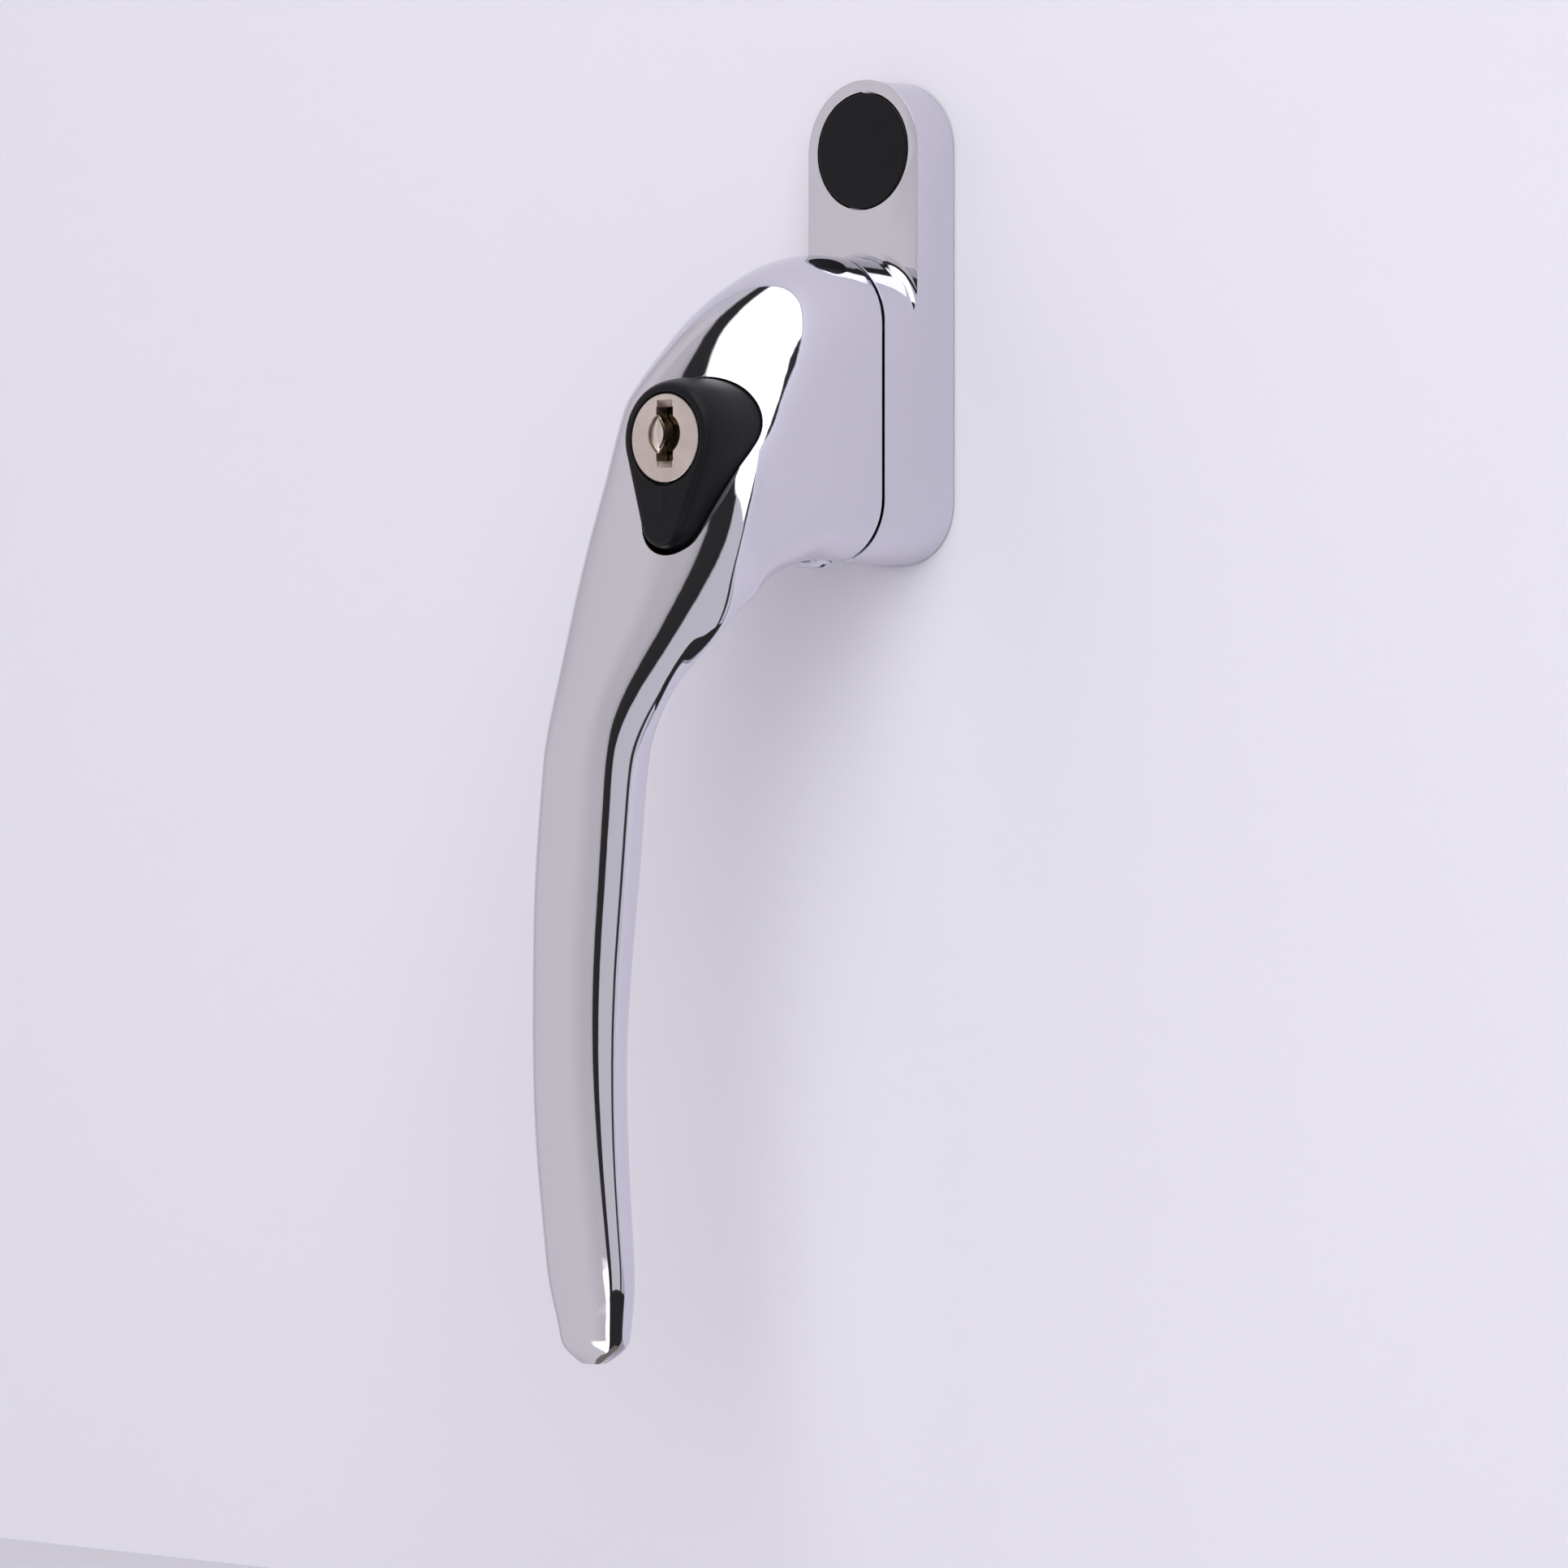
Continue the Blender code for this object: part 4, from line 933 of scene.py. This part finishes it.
def covered(nodes, colour, right, forward, up):
    """The room's colour with the overhead shapes laid over it."""
    level = nodes.math("MAXIMUM", up, OVERHEAD_DIVISOR)
    across, ahead = nodes.math("DIVIDE", right, level), nodes.math("DIVIDE", forward, level)
    upward = nodes.math("GREATER_THAN", up, OVERHEAD_LOWEST)
    for value, tint, edges in OVERHEAD:
        mask = upward
        for a, b, least in edges:
            reach = nodes.math("MULTIPLY_ADD", across, a, nodes.math("MULTIPLY", ahead, b))
            mask = nodes.math("MULTIPLY", mask, nodes.step(reach, least, OVERHEAD_SOFT))
        colour = nodes.mix(mask, colour, grey(value, tint))
    return colour


def make_room():
    """The world: what the chrome reflects, and an even backdrop where the camera looks past it."""
    world = bpy.data.worlds.new("studio")
    bpy.context.scene.world = world
    world.use_nodes = True
    tree = world.node_tree
    nodes = Nodes(tree)
    ray = nodes.add("ShaderNodeTexCoord").outputs["Generated"]
    right, into, up = nodes.add("ShaderNodeSeparateXYZ", {"Vector": ray}).outputs
    forward = nodes.math("MULTIPLY", into, -1.0)
    azimuth = nodes.math("DEGREES", nodes.math("ARCTAN2", right, forward))
    height = nodes.math("DEGREES", nodes.math("ARCSINE", up))
    stops = [((turn + 180) / 360, grey(value, tint)) for turn, value, tint in ROOM]
    colour = nodes.ramp(nodes.remap(azimuth, -180, 180, 0, 1), stops)
    colour = covered(nodes, patched(nodes, colour, azimuth, height), right, forward, up)
    seen = nodes.add("ShaderNodeLightPath").outputs["Is Camera Ray"]
    nodes.fill(tree.nodes["Background"], {"Color": nodes.mix(seen, colour, grey(BACKDROP, COOL))})


def only_mirrored(obj):
    """Leaves a card out of everything but the chrome's reflections."""
    obj.visible_camera = obj.visible_diffuse = obj.visible_shadow = False
    obj.visible_transmission = obj.visible_volume_scatter = False


def make_tip_cards():
    """A dark screen round the lever's tip and a brown sheet under it, seen only in the chrome."""
    centre = TIP_CARDS_CENTRE
    bm = bmesh.new()
    pairs = []
    for i in range(SCREEN_STEPS + 1):
        azimuth = math.radians(SCREEN_FROM + SCREEN_TURN * i / SCREEN_STEPS)
        place = centre + Vector((math.sin(azimuth), -math.cos(azimuth), 0)) * SCREEN_RADIUS
        pairs.append([bm.verts.new((place.x, place.y, z)) for z in (SCREEN_BOTTOM, SCREEN_TOP)])
    for a, b in zip(pairs, pairs[1:]):
        bm.faces.new((a[0], b[0], b[1], a[1]))
    mesh = bpy.data.meshes.new("dark_screen")
    bm.to_mesh(mesh)
    bm.free()
    only_mirrored(staged("dark_screen", mesh, glow("dark_card", grey(0.03))))
    corners = [(centre.x + x, centre.y + y, SHEET_Z) for x, y in square(SHEET_HALF)]
    only_mirrored(sheet("brown_sheet", corners, glow("brown_card", grey(0.2, BROWN))))


def make_key_light():
    """A large soft box in front, above and to the right, left out of the chrome."""
    data = bpy.data.lights.new("key_box", "AREA")
    data.shape = "RECTANGLE"
    data.size = data.size_y = KEY_SIZE
    data.energy = KEY_WATTS
    light = bpy.data.objects.new("key_box", data)
    bpy.context.scene.collection.objects.link(light)
    light.location = KEY_PLACE
    light.rotation_euler = (KEY_TARGET - KEY_PLACE).to_track_quat("-Z", "Y").to_euler()
    light.visible_glossy = False


def make_camera():
    """A long lens about level with the lever's middle, looking at the handle from its right."""
    data = bpy.data.cameras.new("camera")
    data.sensor_width = 36
    data.lens = CAMERA_LENS
    data.clip_start = 0.05
    data.clip_end = 20
    camera = bpy.data.objects.new("camera", data)
    camera.location = CAMERA_PLACE
    camera.rotation_euler = (math.radians(90), 0, math.radians(CAMERA_TURN))
    bpy.context.scene.collection.objects.link(camera)
    bpy.context.scene.camera = camera
    bpy.context.scene.view_settings.view_transform = "Standard"


make_base()
make_cap()
make_lever()
make_button()
make_plug()
make_ward()
dress_cad_nodes()
make_coil()
make_stage()
make_room()
make_tip_cards()
make_key_light()
make_camera()
